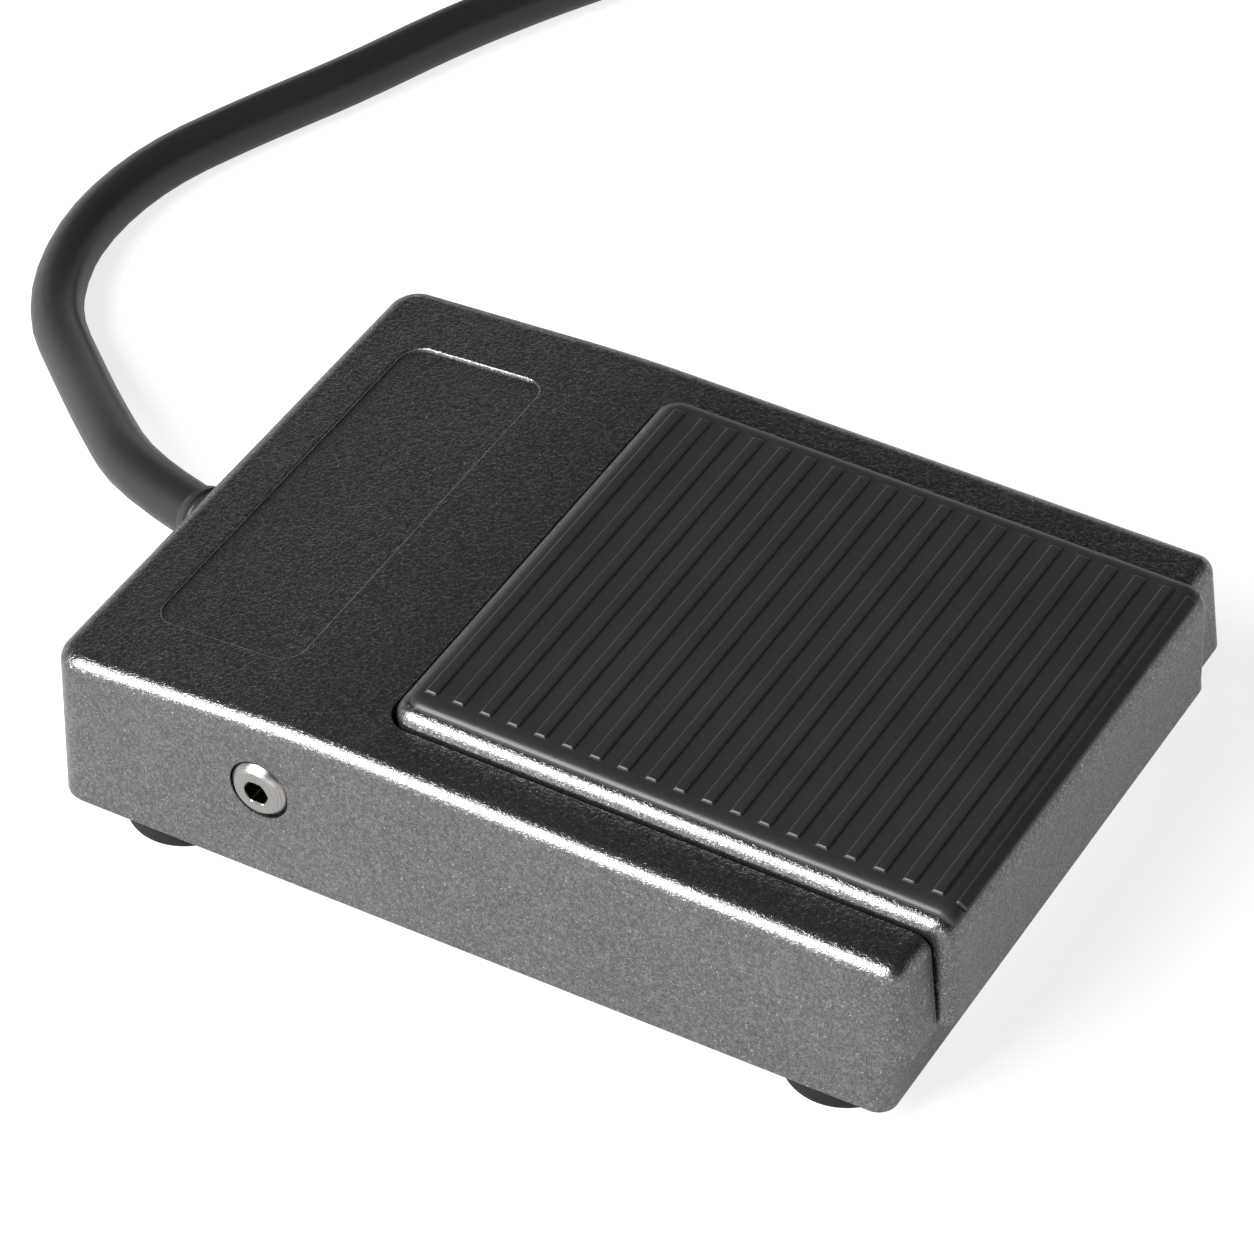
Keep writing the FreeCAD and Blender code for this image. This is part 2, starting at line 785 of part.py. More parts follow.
def housing_bosses(cover):
    def columns(name, spots, height):
        sketch = circles(cover, "XY_Plane", name + "_outline", spots, plate_top_z)
        return pad(cover, name, sketch, height)

    rear_height = roof_rear_z(foot_rear_y) - d.roof_thickness + 1 - plate_top_z
    rear = [(side * foot_x, foot_rear_y, d.foot_boss_radius) for side in (-1, 1)]
    columns("rear_bosses", rear, rear_height)
    front = [(side * foot_x, foot_front_y, d.foot_boss_radius) for side in (-1, 1)]
    columns("front_bosses", front, d.front_boss_height)
    middle = [(side * base_boss_x, 0, d.base_boss_radius) for side in (-1, 1)]
    columns("middle_bosses", middle, lip_z - plate_top_z + 1)
    foot_web = d.front_boss_height - 2
    webs = {
        "front": (foot_x, foot_front_y, foot_web),
        "middle": (base_boss_x, 0, lip_z - ledge_z),
        "rear": (foot_x, foot_rear_y, foot_web),
    }
    for name, (x, y, height) in webs.items():
        web = rectangle(
            cover,
            "XY_Plane",
            name + "_gusset_outline",
            x,
            inner_half + 0.3,
            y - d.gusset_width / 2,
            y + d.gusset_width / 2,
            ledge_z,
        )
        gusset = pad(cover, name + "_gusset", web, height)
        mirrored(cover, name + "_gussets", gusset)
    taps = [(x, y, d.screw_radius + d.screw_gap) for x, y, radius in rear + front + middle]
    holes = circles(cover, "XY_Plane", "tapped_holes_outline", taps, plate_top_z)
    pocket(cover, "tapped_holes", holes, d.thread_depth, reverse=True)


def housing_pivots(cover):
    spot = (pivot_y, pivot_z)
    boss = circles(cover, "YZ_Plane", "pivot_boss_outline", [(*spot, d.pivot_boss_radius)], inner_half + 0.3)
    solid = pad(cover, "pivot_boss", boss, d.pivot_boss_length + 0.3, reverse=True)
    mirrored(cover, "pivot_bosses", solid)
    seat = circles(cover, "YZ_Plane", "shaft_seat_outline", [(*spot, d.shaft_radius + 0.05)], boss_face_x)
    cups = pocket(cover, "shaft_seat", seat, d.shaft_seat, reverse=True)
    mirrored(cover, "shaft_seats", cups)
    bore = circles(
        cover, "YZ_Plane", "pivot_hole_outline", [(*spot, d.pivot_thread_radius + d.screw_gap)]
    )
    pocket(cover, "pivot_holes", bore, d.housing_width + 4, both=True)
    sink = circles(
        cover,
        "YZ_Plane",
        "counterbore_outline",
        [(*spot, d.pivot_head_radius + d.counterbore_gap)],
        pivot_seat_x,
    )
    round_hole = pocket(cover, "counterbore", sink, half_width - pivot_seat_x + 1, reverse=True)
    mirrored(cover, "counterbores", round_hole)


def housing():
    cover = body("housing_cover")
    housing_shell(cover)
    housing_chambers(cover)
    housing_bosses(cover)
    housing_pivots(cover)
    hole = circles(
        cover,
        "XZ_Plane",
        "cable_hole_outline",
        [(0, d.cable_height, d.grommet_radius + d.cable_fit)],
        -(rear_y + 1),
    )
    pocket(cover, "cable_hole", hole, rim_wall + 2, reverse=True)

    # the label's sketch lies on the roof's rear slope
    corners, bends = rounded_box(
        d.label_width / 2,
        -d.label_from_rear - d.label_length,
        -d.label_from_rear,
        d.label_corner,
        d.label_corner,
    )
    label = outline(cover, "XY_Plane", "label_outline", corners, bends=bends)
    tilt = -arctangent(rear_slope)
    label.AttachmentOffset = Placement(
        Vector(0, number(rear_y), number(roof_rear_z(rear_y))), Rotation(Vector(1, 0, 0), number(tilt))
    )
    bind(
        label,
        AttachmentOffset__Base__y=rear_y,
        AttachmentOffset__Base__z=roof_rear_z(rear_y),
        AttachmentOffset__Rotation__Angle=tilt,
    )
    pocket(cover, "label_recess", label, d.label_depth)
    label_rear_y = rear_y - d.label_from_rear
    label_middle_y = label_rear_y - d.label_length / 2
    rounded(
        cover,
        "label_edge",
        d.label_edge_round,
        lambda e: abs(e.CenterOfMass.x) < number(d.label_width / 2) + 0.1
        and abs(e.CenterOfMass.y - number(label_middle_y)) < number(d.label_length / 2) + 0.1
        and near(e.CenterOfMass.z, roof_rear_z(e.CenterOfMass.y)),
    )


# Base, feet and their screws


def small_screw_spots():
    bracket_y = case_rear_y - d.case_length / 2
    spread = d.bracket_screw_spacing / 2
    return {
        "bracket": [(d.bracket_screw_x, bracket_y - spread), (d.bracket_screw_x, bracket_y + spread)],
        "clamp": [(-clamp_screw_x, saddle_y), (clamp_screw_x, saddle_y)],
        "earth": [(d.earth_x, earth_y)],
    }


def base():
    plate = body("base_plate")
    rim = d.base_lip + d.seat_gap
    corners, bends = rounded_box(
        half_width - rim,
        lower_front_y + rim,
        rear_y - rim,
        d.front_corner - rim,
        d.rear_corner - rim,
    )
    sheet_outline = outline(plate, "XY_Plane", "plate_outline", corners, plate_z, bends)
    pad(plate, "plate", sheet_outline, d.plate_thickness)
    small = [spot for spots in small_screw_spots().values() for spot in spots]
    rounds = [(x, y, d.collar_radius) for x, y in small]
    collars = circles(plate, "XY_Plane", "collars_outline", rounds, plate_z)
    pad(plate, "collars", collars, d.collar_height, reverse=True)
    large = [(side * foot_x, y) for side in (-1, 1) for y in (foot_rear_y, foot_front_y)]
    large += [(side * base_boss_x, 0) for side in (-1, 1)]
    rounds = [(x, y, d.screw_radius + d.screw_gap) for x, y in large]
    rounds += [(x, y, d.small_screw_radius + d.screw_gap) for x, y in small]
    rounds += [(side * d.stop_x, stop_y, d.stop_spigot + 0.05) for side in (-1, 1)]
    holes = circles(plate, "XY_Plane", "plate_holes_outline", rounds, plate_top_z)
    pocket(plate, "plate_holes", holes, d.plate_thickness + d.collar_height + 1)

    gasket = body("base_gasket")
    ring = outline(gasket, "XY_Plane", "gasket_outline", corners, plate_top_z, bends)
    pad(gasket, "ring", ring, d.gasket_thickness)
    inset = rim + d.gasket_width
    inside = rectangle(
        gasket,
        "XY_Plane",
        "gasket_inside",
        -half_width + inset,
        half_width - inset,
        lower_front_y + inset,
        rear_y - inset,
        plate_top_z,
    )
    pocket(gasket, "middle", inside, d.gasket_thickness + 1, reverse=True)


def foot(name, x, y):
    rubber = body(name)
    hole = d.screw_radius + d.screw_gap
    sink = d.screw_head_radius + 0.3
    profile = [
        (sink, 0),
        (d.foot_radius - d.foot_edge_round, 0),
        (d.foot_radius, d.foot_edge_round),
        (d.foot_radius, d.foot_disc),
        (d.foot_neck_radius, d.foot_disc),
        (d.foot_neck_radius, plate_z),
        (hole, plate_z),
        (hole, d.foot_seat),
        (sink, d.foot_seat),
    ]
    revolved(rubber, "foot", profile, {1: d.foot_edge_round})
    place(rubber, x, y)


def feet_and_base_screws():
    ends = {"rear": foot_rear_y, "front": foot_front_y}
    sides = {"left": -foot_x, "right": foot_x}
    head = (d.screw_head_radius, d.screw_head_height)
    screws = []
    for end, y in ends.items():
        for side, x in sides.items():
            foot(f"{end}_{side}_foot", x, y)
            shank = (d.screw_radius, d.foot_screw_length)
            name = f"{end}_{side}_foot_screw"
            screws.append(screw(name, head, shank, d.screw_key, x, y, d.foot_seat, "-Z"))
    group("foot_screws", screws)
    shank = (d.screw_radius, d.base_screw_length)
    pair = [
        screw(f"base_screw_{i}", head, shank, d.screw_key, side * base_boss_x, 0, plate_z, "-Z")
        for i, side in enumerate((-1, 1))
    ]
    group("base_screws", pair)


# Pedal and mat


def pedal():
    plate = body("pedal_plate")
    rear = -d.pedal_setback
    front = rear - d.pedal_length
    half = d.pedal_width / 2
    under = d.pedal_height - d.pedal_skin
    skirt_z = d.pedal_height - d.skirt_height
    apron_z = d.pedal_height - d.apron_height
    side_view = [
        (rear, skirt_z),
        (rear, d.pedal_height),
        (front, d.pedal_height),
        (front, apron_z),
        (front + d.apron_thickness, apron_z),
        (front + d.apron_thickness, skirt_z),
    ]
    profile = outline(plate, "YZ_Plane", "side_view", side_view)
    pad(plate, "block", profile, d.pedal_width, both=True)
    rounded(
        plate, "rear_corners", d.pedal_rear_corner, lambda e: upright(e, 5) and near(e.CenterOfMass.y, rear)
    )
    rounded(
        plate,
        "front_edge",
        d.pedal_front_round,
        lambda e: near(e.CenterOfMass.y, front) and near(e.CenterOfMass.z, d.pedal_height),
    )
    rounded(
        plate,
        "top_edge",
        d.pedal_edge_round,
        lambda e: (
            near(abs(e.CenterOfMass.x), half)
            and (e.CenterOfMass.z > number(under) - 1 or near(e.CenterOfMass.y, front))
        )
        or (near(e.CenterOfMass.z, d.pedal_height) and e.CenterOfMass.y > number(rear) - 6),
    )
    corners, bends = rounded_box(
        half - d.skirt_thickness,
        front + d.apron_thickness,
        rear - d.skirt_thickness,
        d.skirt_thickness / 2,
        d.pedal_rear_corner - d.skirt_thickness,
    )
    inside = outline(plate, "XY_Plane", "inside_outline", corners, under, bends)
    pocket(plate, "inside", inside, under - skirt_z + 1)

    root_y = rear - d.arm_root
    side_of_arm = [
        (root_y, under + 0.5),
        (root_y, under - d.arm_root_depth),
        (-d.arm_head_radius - 3.5, -d.arm_head_radius + 1.2),
        (0, -d.arm_head_radius),
        (0, d.arm_top),
        (rear - d.arm_rear_inset, d.arm_top),
        (rear - d.arm_rear_inset, under + 0.5),
    ]
    inner_x = d.arm_x - d.arm_thickness / 2
    web = outline(plate, "YZ_Plane", "arm_outline", side_of_arm, inner_x)
    arm = pad(plate, "arm", web, d.arm_thickness)
    disc = circles(plate, "YZ_Plane", "arm_head_outline", [(0, 0, d.arm_head_radius)], inner_x)
    head = pad(plate, "arm_head", disc, d.arm_thickness)
    mirrored(plate, "other_arm", arm, head)
    bore = circles(plate, "YZ_Plane", "bush_bore_outline", [(0, 0, bush_outside + d.press_gap)])
    pocket(plate, "bush_bores", bore, d.pedal_width, both=True)

    columns = {
        "actuator_boss": ([(0, actuator_y, d.actuator_boss_radius)], d.actuator_boss),
        "stop_bosses": (
            [(side * d.stop_x, stop_y - pivot_y, d.stop_boss_radius) for side in (-1, 1)],
            d.stop_boss,
        ),
        "spring_boss": ([(0, -d.spring_from_pivot, d.spring_boss_radius)], d.spring_boss),
    }
    for name, (spots, height) in columns.items():
        sketch = circles(plate, "XY_Plane", name + "_outline", spots, under + 0.5)
        pad(plate, name, sketch, height + 0.5, reverse=True)
    hole = [(0, actuator_y, d.actuator_radius + 0.05)]
    tapped = circles(plate, "XY_Plane", "actuator_hole_outline", hole, actuator_top_z + 0.5)
    pocket(plate, "actuator_hole", tapped, d.pedal_height)
    on_pedal(plate)


def tread_mat():
    mat = body("tread_mat")
    rear = -d.pedal_setback - d.mat_rear_inset
    axis_y = -d.pedal_setback - d.pedal_length + d.pedal_front_round
    axis_z = d.pedal_height - d.pedal_front_round
    inner = d.pedal_front_round
    outer = inner + d.mat_thickness
    top_z = d.pedal_height + d.mat_thickness
    turn = d.mat_wrap
    side_view = [
        (rear, d.pedal_height),
        (axis_y, d.pedal_height),
        (axis_y - inner * sine(turn), axis_z + inner * cosine(turn)),
        (axis_y - outer * sine(turn), axis_z + outer * cosine(turn)),
        (axis_y, top_z),
        (rear, top_z),
    ]
    profile = outline(mat, "YZ_Plane", "side_view", side_view, bends={1: inner, 3: -outer})
    pad(mat, "sheet", profile, d.mat_width, both=True)
    half = d.mat_width / 2
    rounded(
        mat,
        "rear_corners",
        d.mat_corner,
        lambda e: near(e.Length, d.mat_thickness)
        and near(e.CenterOfMass.y, rear)
        and near(abs(e.CenterOfMass.x), half),
    )
    rounded(
        mat,
        "front_corners",
        d.mat_corner / 2,
        lambda e: near(e.Length, d.mat_thickness)
        and e.CenterOfMass.y < number(axis_y) - 1
        and near(abs(e.CenterOfMass.x), half),
    )

    def on_top(e):
        centre = e.CenterOfMass
        if centre.y > number(axis_y) + 0.01:
            return near(centre.z, top_z)
        reach = math.hypot(centre.y - number(axis_y), centre.z - number(axis_z))
        return centre.y < number(axis_y) - 0.01 and reach > number(outer) - 0.35

    rounded(mat, "edge", d.mat_edge_round, on_top)

    first_y = -d.pedal_setback - d.rib_from_rear
    strip = rectangle(
        mat,
        "XY_Plane",
        "rib_outline",
        -d.rib_length / 2,
        d.rib_length / 2,
        first_y - d.rib_width / 2,
        first_y + d.rib_width / 2,
        top_z,
    )
    rib = pad(mat, "rib", strip, d.rib_height)
    rows = mat.newObject("PartDesign::LinearPattern", "ribs")
    rows.Originals = [rib]
    rows.Direction = (strip, ["V_Axis"])
    rows.Reversed = True
    rows.Occurrences = FLAT_RIBS
    bind(rows, Length=d.rib_pitch * (FLAT_RIBS - 1))
    mat.Tip = rows
    doc.recompute()

    # the last rib lies on the rounded front, turned with it
    turn = d.nose_rib_turn
    low = outer - 0.15
    high = outer + d.rib_height
    wide = d.rib_width / 2
    side_view = [
        (axis_y - reach * sine(turn) + along * cosine(turn), axis_z + reach * cosine(turn) + along * sine(turn))
        for reach, along in ((low, wide), (high, wide), (high, -wide), (low, -wide))
    ]
    nose = outline(mat, "YZ_Plane", "nose_rib_outline", side_view)
    pad(mat, "nose_rib", nose, d.rib_length, both=True)
    on_pedal(mat)


# Pivot


def tube_piece(name, outside, inside, length, x, y, z, axis="X"):
    solid = rod(name + "_outside", outside, length)
    bore = rod(name + "_bore", inside, length + 2, 0, 0, -1)
    return place(cut(name, solid, bore), x, y, z, axis)


def pivot():
    reach = boss_face_x + d.shaft_seat - 0.1
    bar = rod("shaft_bar", d.shaft_radius, reach * 2, -reach, 0, 0, "X")
    depth = d.pivot_screw_length + 1 - (pivot_seat_x - reach)
    taps = [
        rod("right_tap", d.pivot_thread_radius + 0.05, depth + 1, reach - depth, 0, 0, "X"),
        rod("left_tap", d.pivot_thread_radius + 0.05, depth + 1, depth - reach, 0, 0, "-X"),
    ]
    shaft = cut("pivot_shaft", bar, *taps)
    keep("pivot_shaft", place(shaft, 0, pivot_y, pivot_z))

    inner_x = d.arm_x - d.arm_thickness / 2
    outer_x = d.arm_x + d.arm_thickness / 2
    for side, sign, axis in (("right", 1, "X"), ("left", -1, "-X")):
        name = side + "_pivot_screw"
        plain = d.pivot_head_height - d.pivot_head_chamfer
        blank = joined(
            name + "_blank",
            rod(name + "_head", d.pivot_head_radius, plain),
            cone(
                name + "_chamfer",
                d.pivot_head_radius,
                d.pivot_head_radius - d.pivot_head_chamfer,
                d.pivot_head_chamfer,
                0,
                0,
                plain,
            ),
            rod(name + "_shank", d.pivot_thread_radius, d.pivot_screw_length, 0, 0, -d.pivot_screw_length),
        )
        key_z = d.pivot_head_height - d.pivot_key_depth
        key = hexagon(name + "_key", d.pivot_key, d.pivot_key_depth, 0, 0, key_z)
        keep(name, place(cut(name, blank, key), sign * pivot_seat_x, pivot_y, pivot_z, axis))

        name = side + "_pivot_bush"
        solid = joined(
            name + "_solid",
            rod(name + "_barrel", bush_outside, d.arm_thickness),
            rod(name + "_flange", d.bush_flange_radius, d.bush_flange, 0, 0, d.arm_thickness),
        )
        bore = rod(name + "_bore", d.shaft_radius + d.running_gap, d.arm_thickness + 4, 0, 0, -1)
        keep(name, place(cut(name, solid, bore), sign * inner_x, pivot_y, pivot_z, axis))

        name = side + "_pivot_spacer"
        start = outer_x + d.bush_flange + d.end_float
        length = boss_face_x - start
        ring = tube_piece(
            name, d.spacer_radius, d.shaft_radius + 0.05, length, sign * start, pivot_y, pivot_z, axis
        )
        keep(name, ring)


# Switch


def switch():
    middle_y = case_rear_y - d.case_length / 2
    case_x = -d.case_width / 2 + d.case_cover
    wide = d.case_width - d.case_cover
    shell = block(
        "case_shell", wide, d.case_length, d.case_height, case_x + wide / 2, middle_y, case_z
    )
    ears = [
        block(
            f"case_ear_{i}",
            d.pin_ear_thickness,
            d.pin_ear_length,
            d.lever_height + d.pin_ear_rise,
            side * (d.lever_width + d.pin_ear_thickness + 0.2) / 2,
            lever_pin_y,
            case_top_z,
        )
        for i, side in enumerate((-1, 1))
    ]
    hole_z = case_z + d.case_hole_height
    hole_ys = [middle_y - d.case_hole_spacing / 2, middle_y + d.case_hole_spacing / 2]
    bores = [
        rod(f"case_hole_{i}", d.case_hole_radius, d.case_width + 4, -d.case_width / 2 - 2, y, hole_z, "X")
        for i, y in enumerate(hole_ys)
    ]
    well_depth = d.plunger_depth + 1
    well = rod("plunger_well", d.plunger_radius + 0.06, well_depth + 1, 0, plunger_y, case_top_z - well_depth)
    pin_hole = rod("lever_pin_hole", d.lever_pin_radius + 0.02, 8, -4, lever_pin_y, lever_pin_z, "X")
    keep("switch_case", cut("switch_case", joined("case_solid", shell, *ears), *bores, well, pin_hole))

    plate = block(
        "cover_plate",
        d.case_cover,
        d.case_length,
        d.case_height,
        -d.case_width / 2 + d.case_cover / 2,
        middle_y,
        case_z,
    )
    keep("switch_cover", cut("switch_cover", plate, *[doc.copyObject(bore) for bore in bores]))

    blades = []
    for i in range(3):
        z = case_z + d.blade_lift + d.blade_step * i - d.blade_thickness / 2
        y = case_rear_y + d.blade_length / 2
        blades.append(block(f"blade_{i}", d.blade_width, d.blade_length, d.blade_thickness, 0, y, z))
    group("switch_terminals", blades)

    pin_x = -d.lever_pin_length / 2
    pin = rod("switch_lever_pin", d.lever_pin_radius, d.lever_pin_length, pin_x, lever_pin_y, lever_pin_z, "X")
    keep("switch_lever_pin", pin)
    plunger_z = case_top_z - d.plunger_depth
    tip = rod("switch_plunger", d.plunger_radius, plunger_top_z - plunger_z, 0, plunger_y, plunger_z)
    keep("switch_plunger", tip)

    lever = body("switch_lever")
    end_y = lever_pin_y - d.lever_length - 1.5
    rise = d.lever_tip_rise / d.lever_length
    end_z = lever_pin_z + rise * (d.lever_length + 1.5)
    half = d.lever_thickness / 2
    strip = [
        (lever_pin_y, lever_pin_z - half),
        (lever_pin_y, lever_pin_z + half),
        (end_y, end_z + half),
        (end_y, end_z - half),
    ]
    profile = outline(lever, "YZ_Plane", "strip_outline", strip)
    pad(lever, "strip", profile, d.lever_width, both=True)
    eye = circles(lever, "YZ_Plane", "eye_outline", [(lever_pin_y, lever_pin_z, d.lever_eye_radius)])
    pad(lever, "eye", eye, d.lever_width, both=True)
    pin_round = (lever_pin_y, lever_pin_z, d.lever_pin_radius + 0.04)
    bore = circles(lever, "YZ_Plane", "eye_bore_outline", [pin_round])
    pocket(lever, "eye_bore", bore, d.lever_width + 2, both=True)

    upright_x = d.case_width / 2 + d.bracket_thickness / 2
    wall = block(
        "bracket_wall",
        d.bracket_thickness,
        d.bracket_length + 6,
        d.bracket_height,
        upright_x,
        middle_y,
        plate_top_z,
    )
    sole = block(
        "bracket_sole",
        d.bracket_foot,
        d.bracket_length,
        d.bracket_thickness,
        d.case_width / 2 + d.bracket_foot / 2,
        middle_y,
        plate_top_z,
    )
    spots = small_screw_spots()["bracket"]
    holes = [
        rod(f"bracket_hole_{i}", d.small_screw_radius + d.screw_gap, 6, x, y, plate_top_z - 2)
        for i, (x, y) in enumerate(spots)
    ]
    side_holes = [doc.copyObject(bore) for bore in bores]
    keep("switch_bracket", cut("switch_bracket", joined("bracket_solid", wall, sole), *holes, *side_holes))

    head = (d.small_head_radius, d.small_head_height)
    shank = (d.small_screw_radius, d.case_width + d.bracket_thickness + 0.7)
    sides = [
        screw(f"switch_screw_{i}", head, shank, d.small_key, -d.case_width / 2, y, hole_z, "-X")
        for i, y in enumerate(hole_ys)
    ]
    group("switch_screws", sides)
    seat_z = plate_top_z + d.bracket_thickness
    shank = (d.small_screw_radius, d.bracket_thickness + d.plate_thickness + d.collar_height)
    downs = [
        screw(f"bracket_screw_{i}", head, shank, d.small_key, x, y, seat_z)
        for i, (x, y) in enumerate(spots)
    ]
    group("bracket_screws", downs)


def actuator():
    under = d.pedal_height - d.pedal_skin - d.actuator_boss
    point = d.actuator_point
    stem = joined(
        "actuator_stem",
        cone(
            "actuator_point",
            d.actuator_radius - point,
            d.actuator_radius,
            point,
            0,
            actuator_y,
            actuator_tip_z,
        ),
        rod(
            "actuator_rod",
            d.actuator_radius,
            actuator_top_z - actuator_tip_z - point,
            0,
            actuator_y,
            actuator_tip_z + point,
        ),
    )
    keep("actuator_screw", on_pedal(stem))
    nut_z = under - d.locknut_height
    nut = hexagon("locknut_blank", d.locknut_radius, d.locknut_height, 0, actuator_y, nut_z)
    bore = rod("locknut_bore", d.actuator_radius + 0.05, d.locknut_height + 2, 0, actuator_y, nut_z - 1)
    keep("actuator_locknut", on_pedal(cut("actuator_locknut", nut, bore)))


# Wound and bent tubes


def arc_between(start, end, corner):
    middle = (start + end) / 2
    chord = (end - start).Length
    bow = math.acos(min(1.0, chord / 2 / (corner - start).Length))
    away = (corner - middle).normalize()
    return Part.Arc(start, middle + away * (chord / 2) * math.tan(bow / 2), end).toShape()


def tube_along(edges, radius, label):
    path = Part.Wire(edges)
    first = edges[0]
    circle = Part.Circle(first.Vertexes[0].Point, first.tangentAt(first.FirstParameter), radius)
    section = Part.Wire([circle.toShape()])
    shape = path.makePipeShell([section], True, False)
    expected = math.pi * radius**2 * path.Length
    print(f"{label}: length {path.Length:.1f}, volume {shape.Volume / expected:.4f} of section x length")
    return shape, path


def bent_tube(name, points, radius):
    # straight runs joined by tangent arcs as large as the runs allow
    spots = [Vector(*point) for point in points]
    edges = []
    radii = []
    last = spots[0]
    for before, here, after in zip(spots, spots[1:], spots[2:]):
        arriving = (here - before).normalize()
        leaving = (after - here).normalize()
        turn = arriving.getAngle(leaving)
        leg = 0.45 * min((here - before).Length, (after - here).Length)
        radii.append(leg / math.tan(turn / 2))
        start = here - arriving * leg
        end = here + leaving * leg
        edges += [Part.LineSegment(last, start).toShape(), arc_between(start, end, here)]
        last = end
    edges.append(Part.LineSegment(last, spots[-1]).toShape())
    shape, path = tube_along(edges, radius, name)
    print(f"{name}: radii {[round(r, 1) for r in radii]}")
    thing = doc.addObject("Part::Feature", name)
    thing.Shape = shape
    return keep(name, thing)


def wound_tube(name, centre, turns, steps, radius, straight):
    # centre(t) is the centre line after t turns; ends run straight for one tube diameter
    def heading(t):
        return (centre(t + 1e-4) - centre(t - 1e-4)).normalize()

    edges = []
    first = centre(0) - heading(0) * straight
    edges.append(Part.LineSegment(first, centre(0)).toShape())
    for i in range(steps):
        t0 = turns * i / steps
        t1 = turns * (i + 1) / steps
        p0, p1, u0, u1 = centre(t0), centre(t1), heading(t0), heading(t1)
        v = p1 - p0
        both = u0 + u1
        share = 2 * (1 - u0.dot(u1))
        leg = (-v.dot(both) + math.sqrt(v.dot(both) ** 2 + share * v.dot(v))) / share
        corner0 = p0 + u0 * leg
        corner1 = p1 - u1 * leg
        joint = (corner0 + corner1) / 2
        edges += [arc_between(p0, joint, corner0), arc_between(joint, p1, corner1)]
    last = centre(turns) + heading(turns) * straight
    edges.append(Part.LineSegment(centre(turns), last).toShape())
    shape, path = tube_along(edges, radius, name)
    count = int(turns * 48)
    line = [centre(turns * i / count) for i in range(count + 1)]
    apart = 16
    least = min(
        (line[i] - line[j]).Length for i in range(count + 1) for j in range(i + apart, count + 1)
    )
    print(f"{name}: least gap to itself {least - 2 * radius:.2f}")
    thing = doc.addObject("Part::Feature", name)
    thing.Shape = shape
    return keep(name, thing), last, heading(turns)


# Return spring and stops


def spring_and_stops():
    pin = rod("seat_pin", d.seat_pin_radius, d.seat_pin_height, 0, spring_y, plate_top_z)
    disc = rod("seat_disc", d.seat_radius, d.seat_thickness, 0, spring_y, plate_top_z)
    keep("spring_seat", joined("spring_seat", disc, pin))

    mean, wire = number(d.spring_radius), number(d.spring_wire)
    low = number(plate_top_z + d.seat_thickness) + wire
    high = number(spring_top_z) - wire
    turns = number(d.spring_turns)

    def coil_line(t):
        angle = 2 * math.pi * t
        z = low + (high - low) * t / turns
        return Vector(mean * math.cos(angle), number(spring_y) + mean * math.sin(angle), z)

    wound_tube("return_spring", coil_line, turns, int(turns * 2), wire, 0.02)

    stops = []
    for i, side in enumerate((-1, 1)):
        x = side * d.stop_x
        plain = d.stop_height - d.stop_round
        stops.append(
            joined(
                f"travel_stop_{i}",
                rod(f"stop_body_{i}", d.stop_radius, plain, x, stop_y, plate_top_z),
                cone(
                    f"stop_top_{i}",
                    d.stop_radius,
                    d.stop_radius - d.stop_round,
                    d.stop_round,
                    x,
                    stop_y,
                    plate_top_z + plain,
                ),
                rod(f"stop_spigot_{i}", d.stop_spigot, d.plate_thickness, x, stop_y, plate_z),
            )
        )
    group("travel_stops", stops)

    pads = []
    for i, side in enumerate((-1, 1)):
        y = rebound_y - d.rebound_length / 2
        x = side * d.arm_x
        thick = rebound_top_z - d.arm_top
        pads.append(block(f"rebound_pad_{i}", d.arm_thickness, d.rebound_length, thick, x, y, d.arm_top))
    on_pedal(group("rebound_pads", pads))


# Cable entry and inside wiring


def toward(thing, point, direction):
    # stands the thing's own Z axis along a direction of the cable
    for axis in "xyz":
        thing.setExpression(f"Placement.Base.{axis}", None)
    thing.Placement = Placement(Vector(*point), Rotation(Vector(0, 0, 1), direction))
    return thing


def cable_route():
    return [(x, number(rear_y) + y, z) for x, y, z in ROUTE]


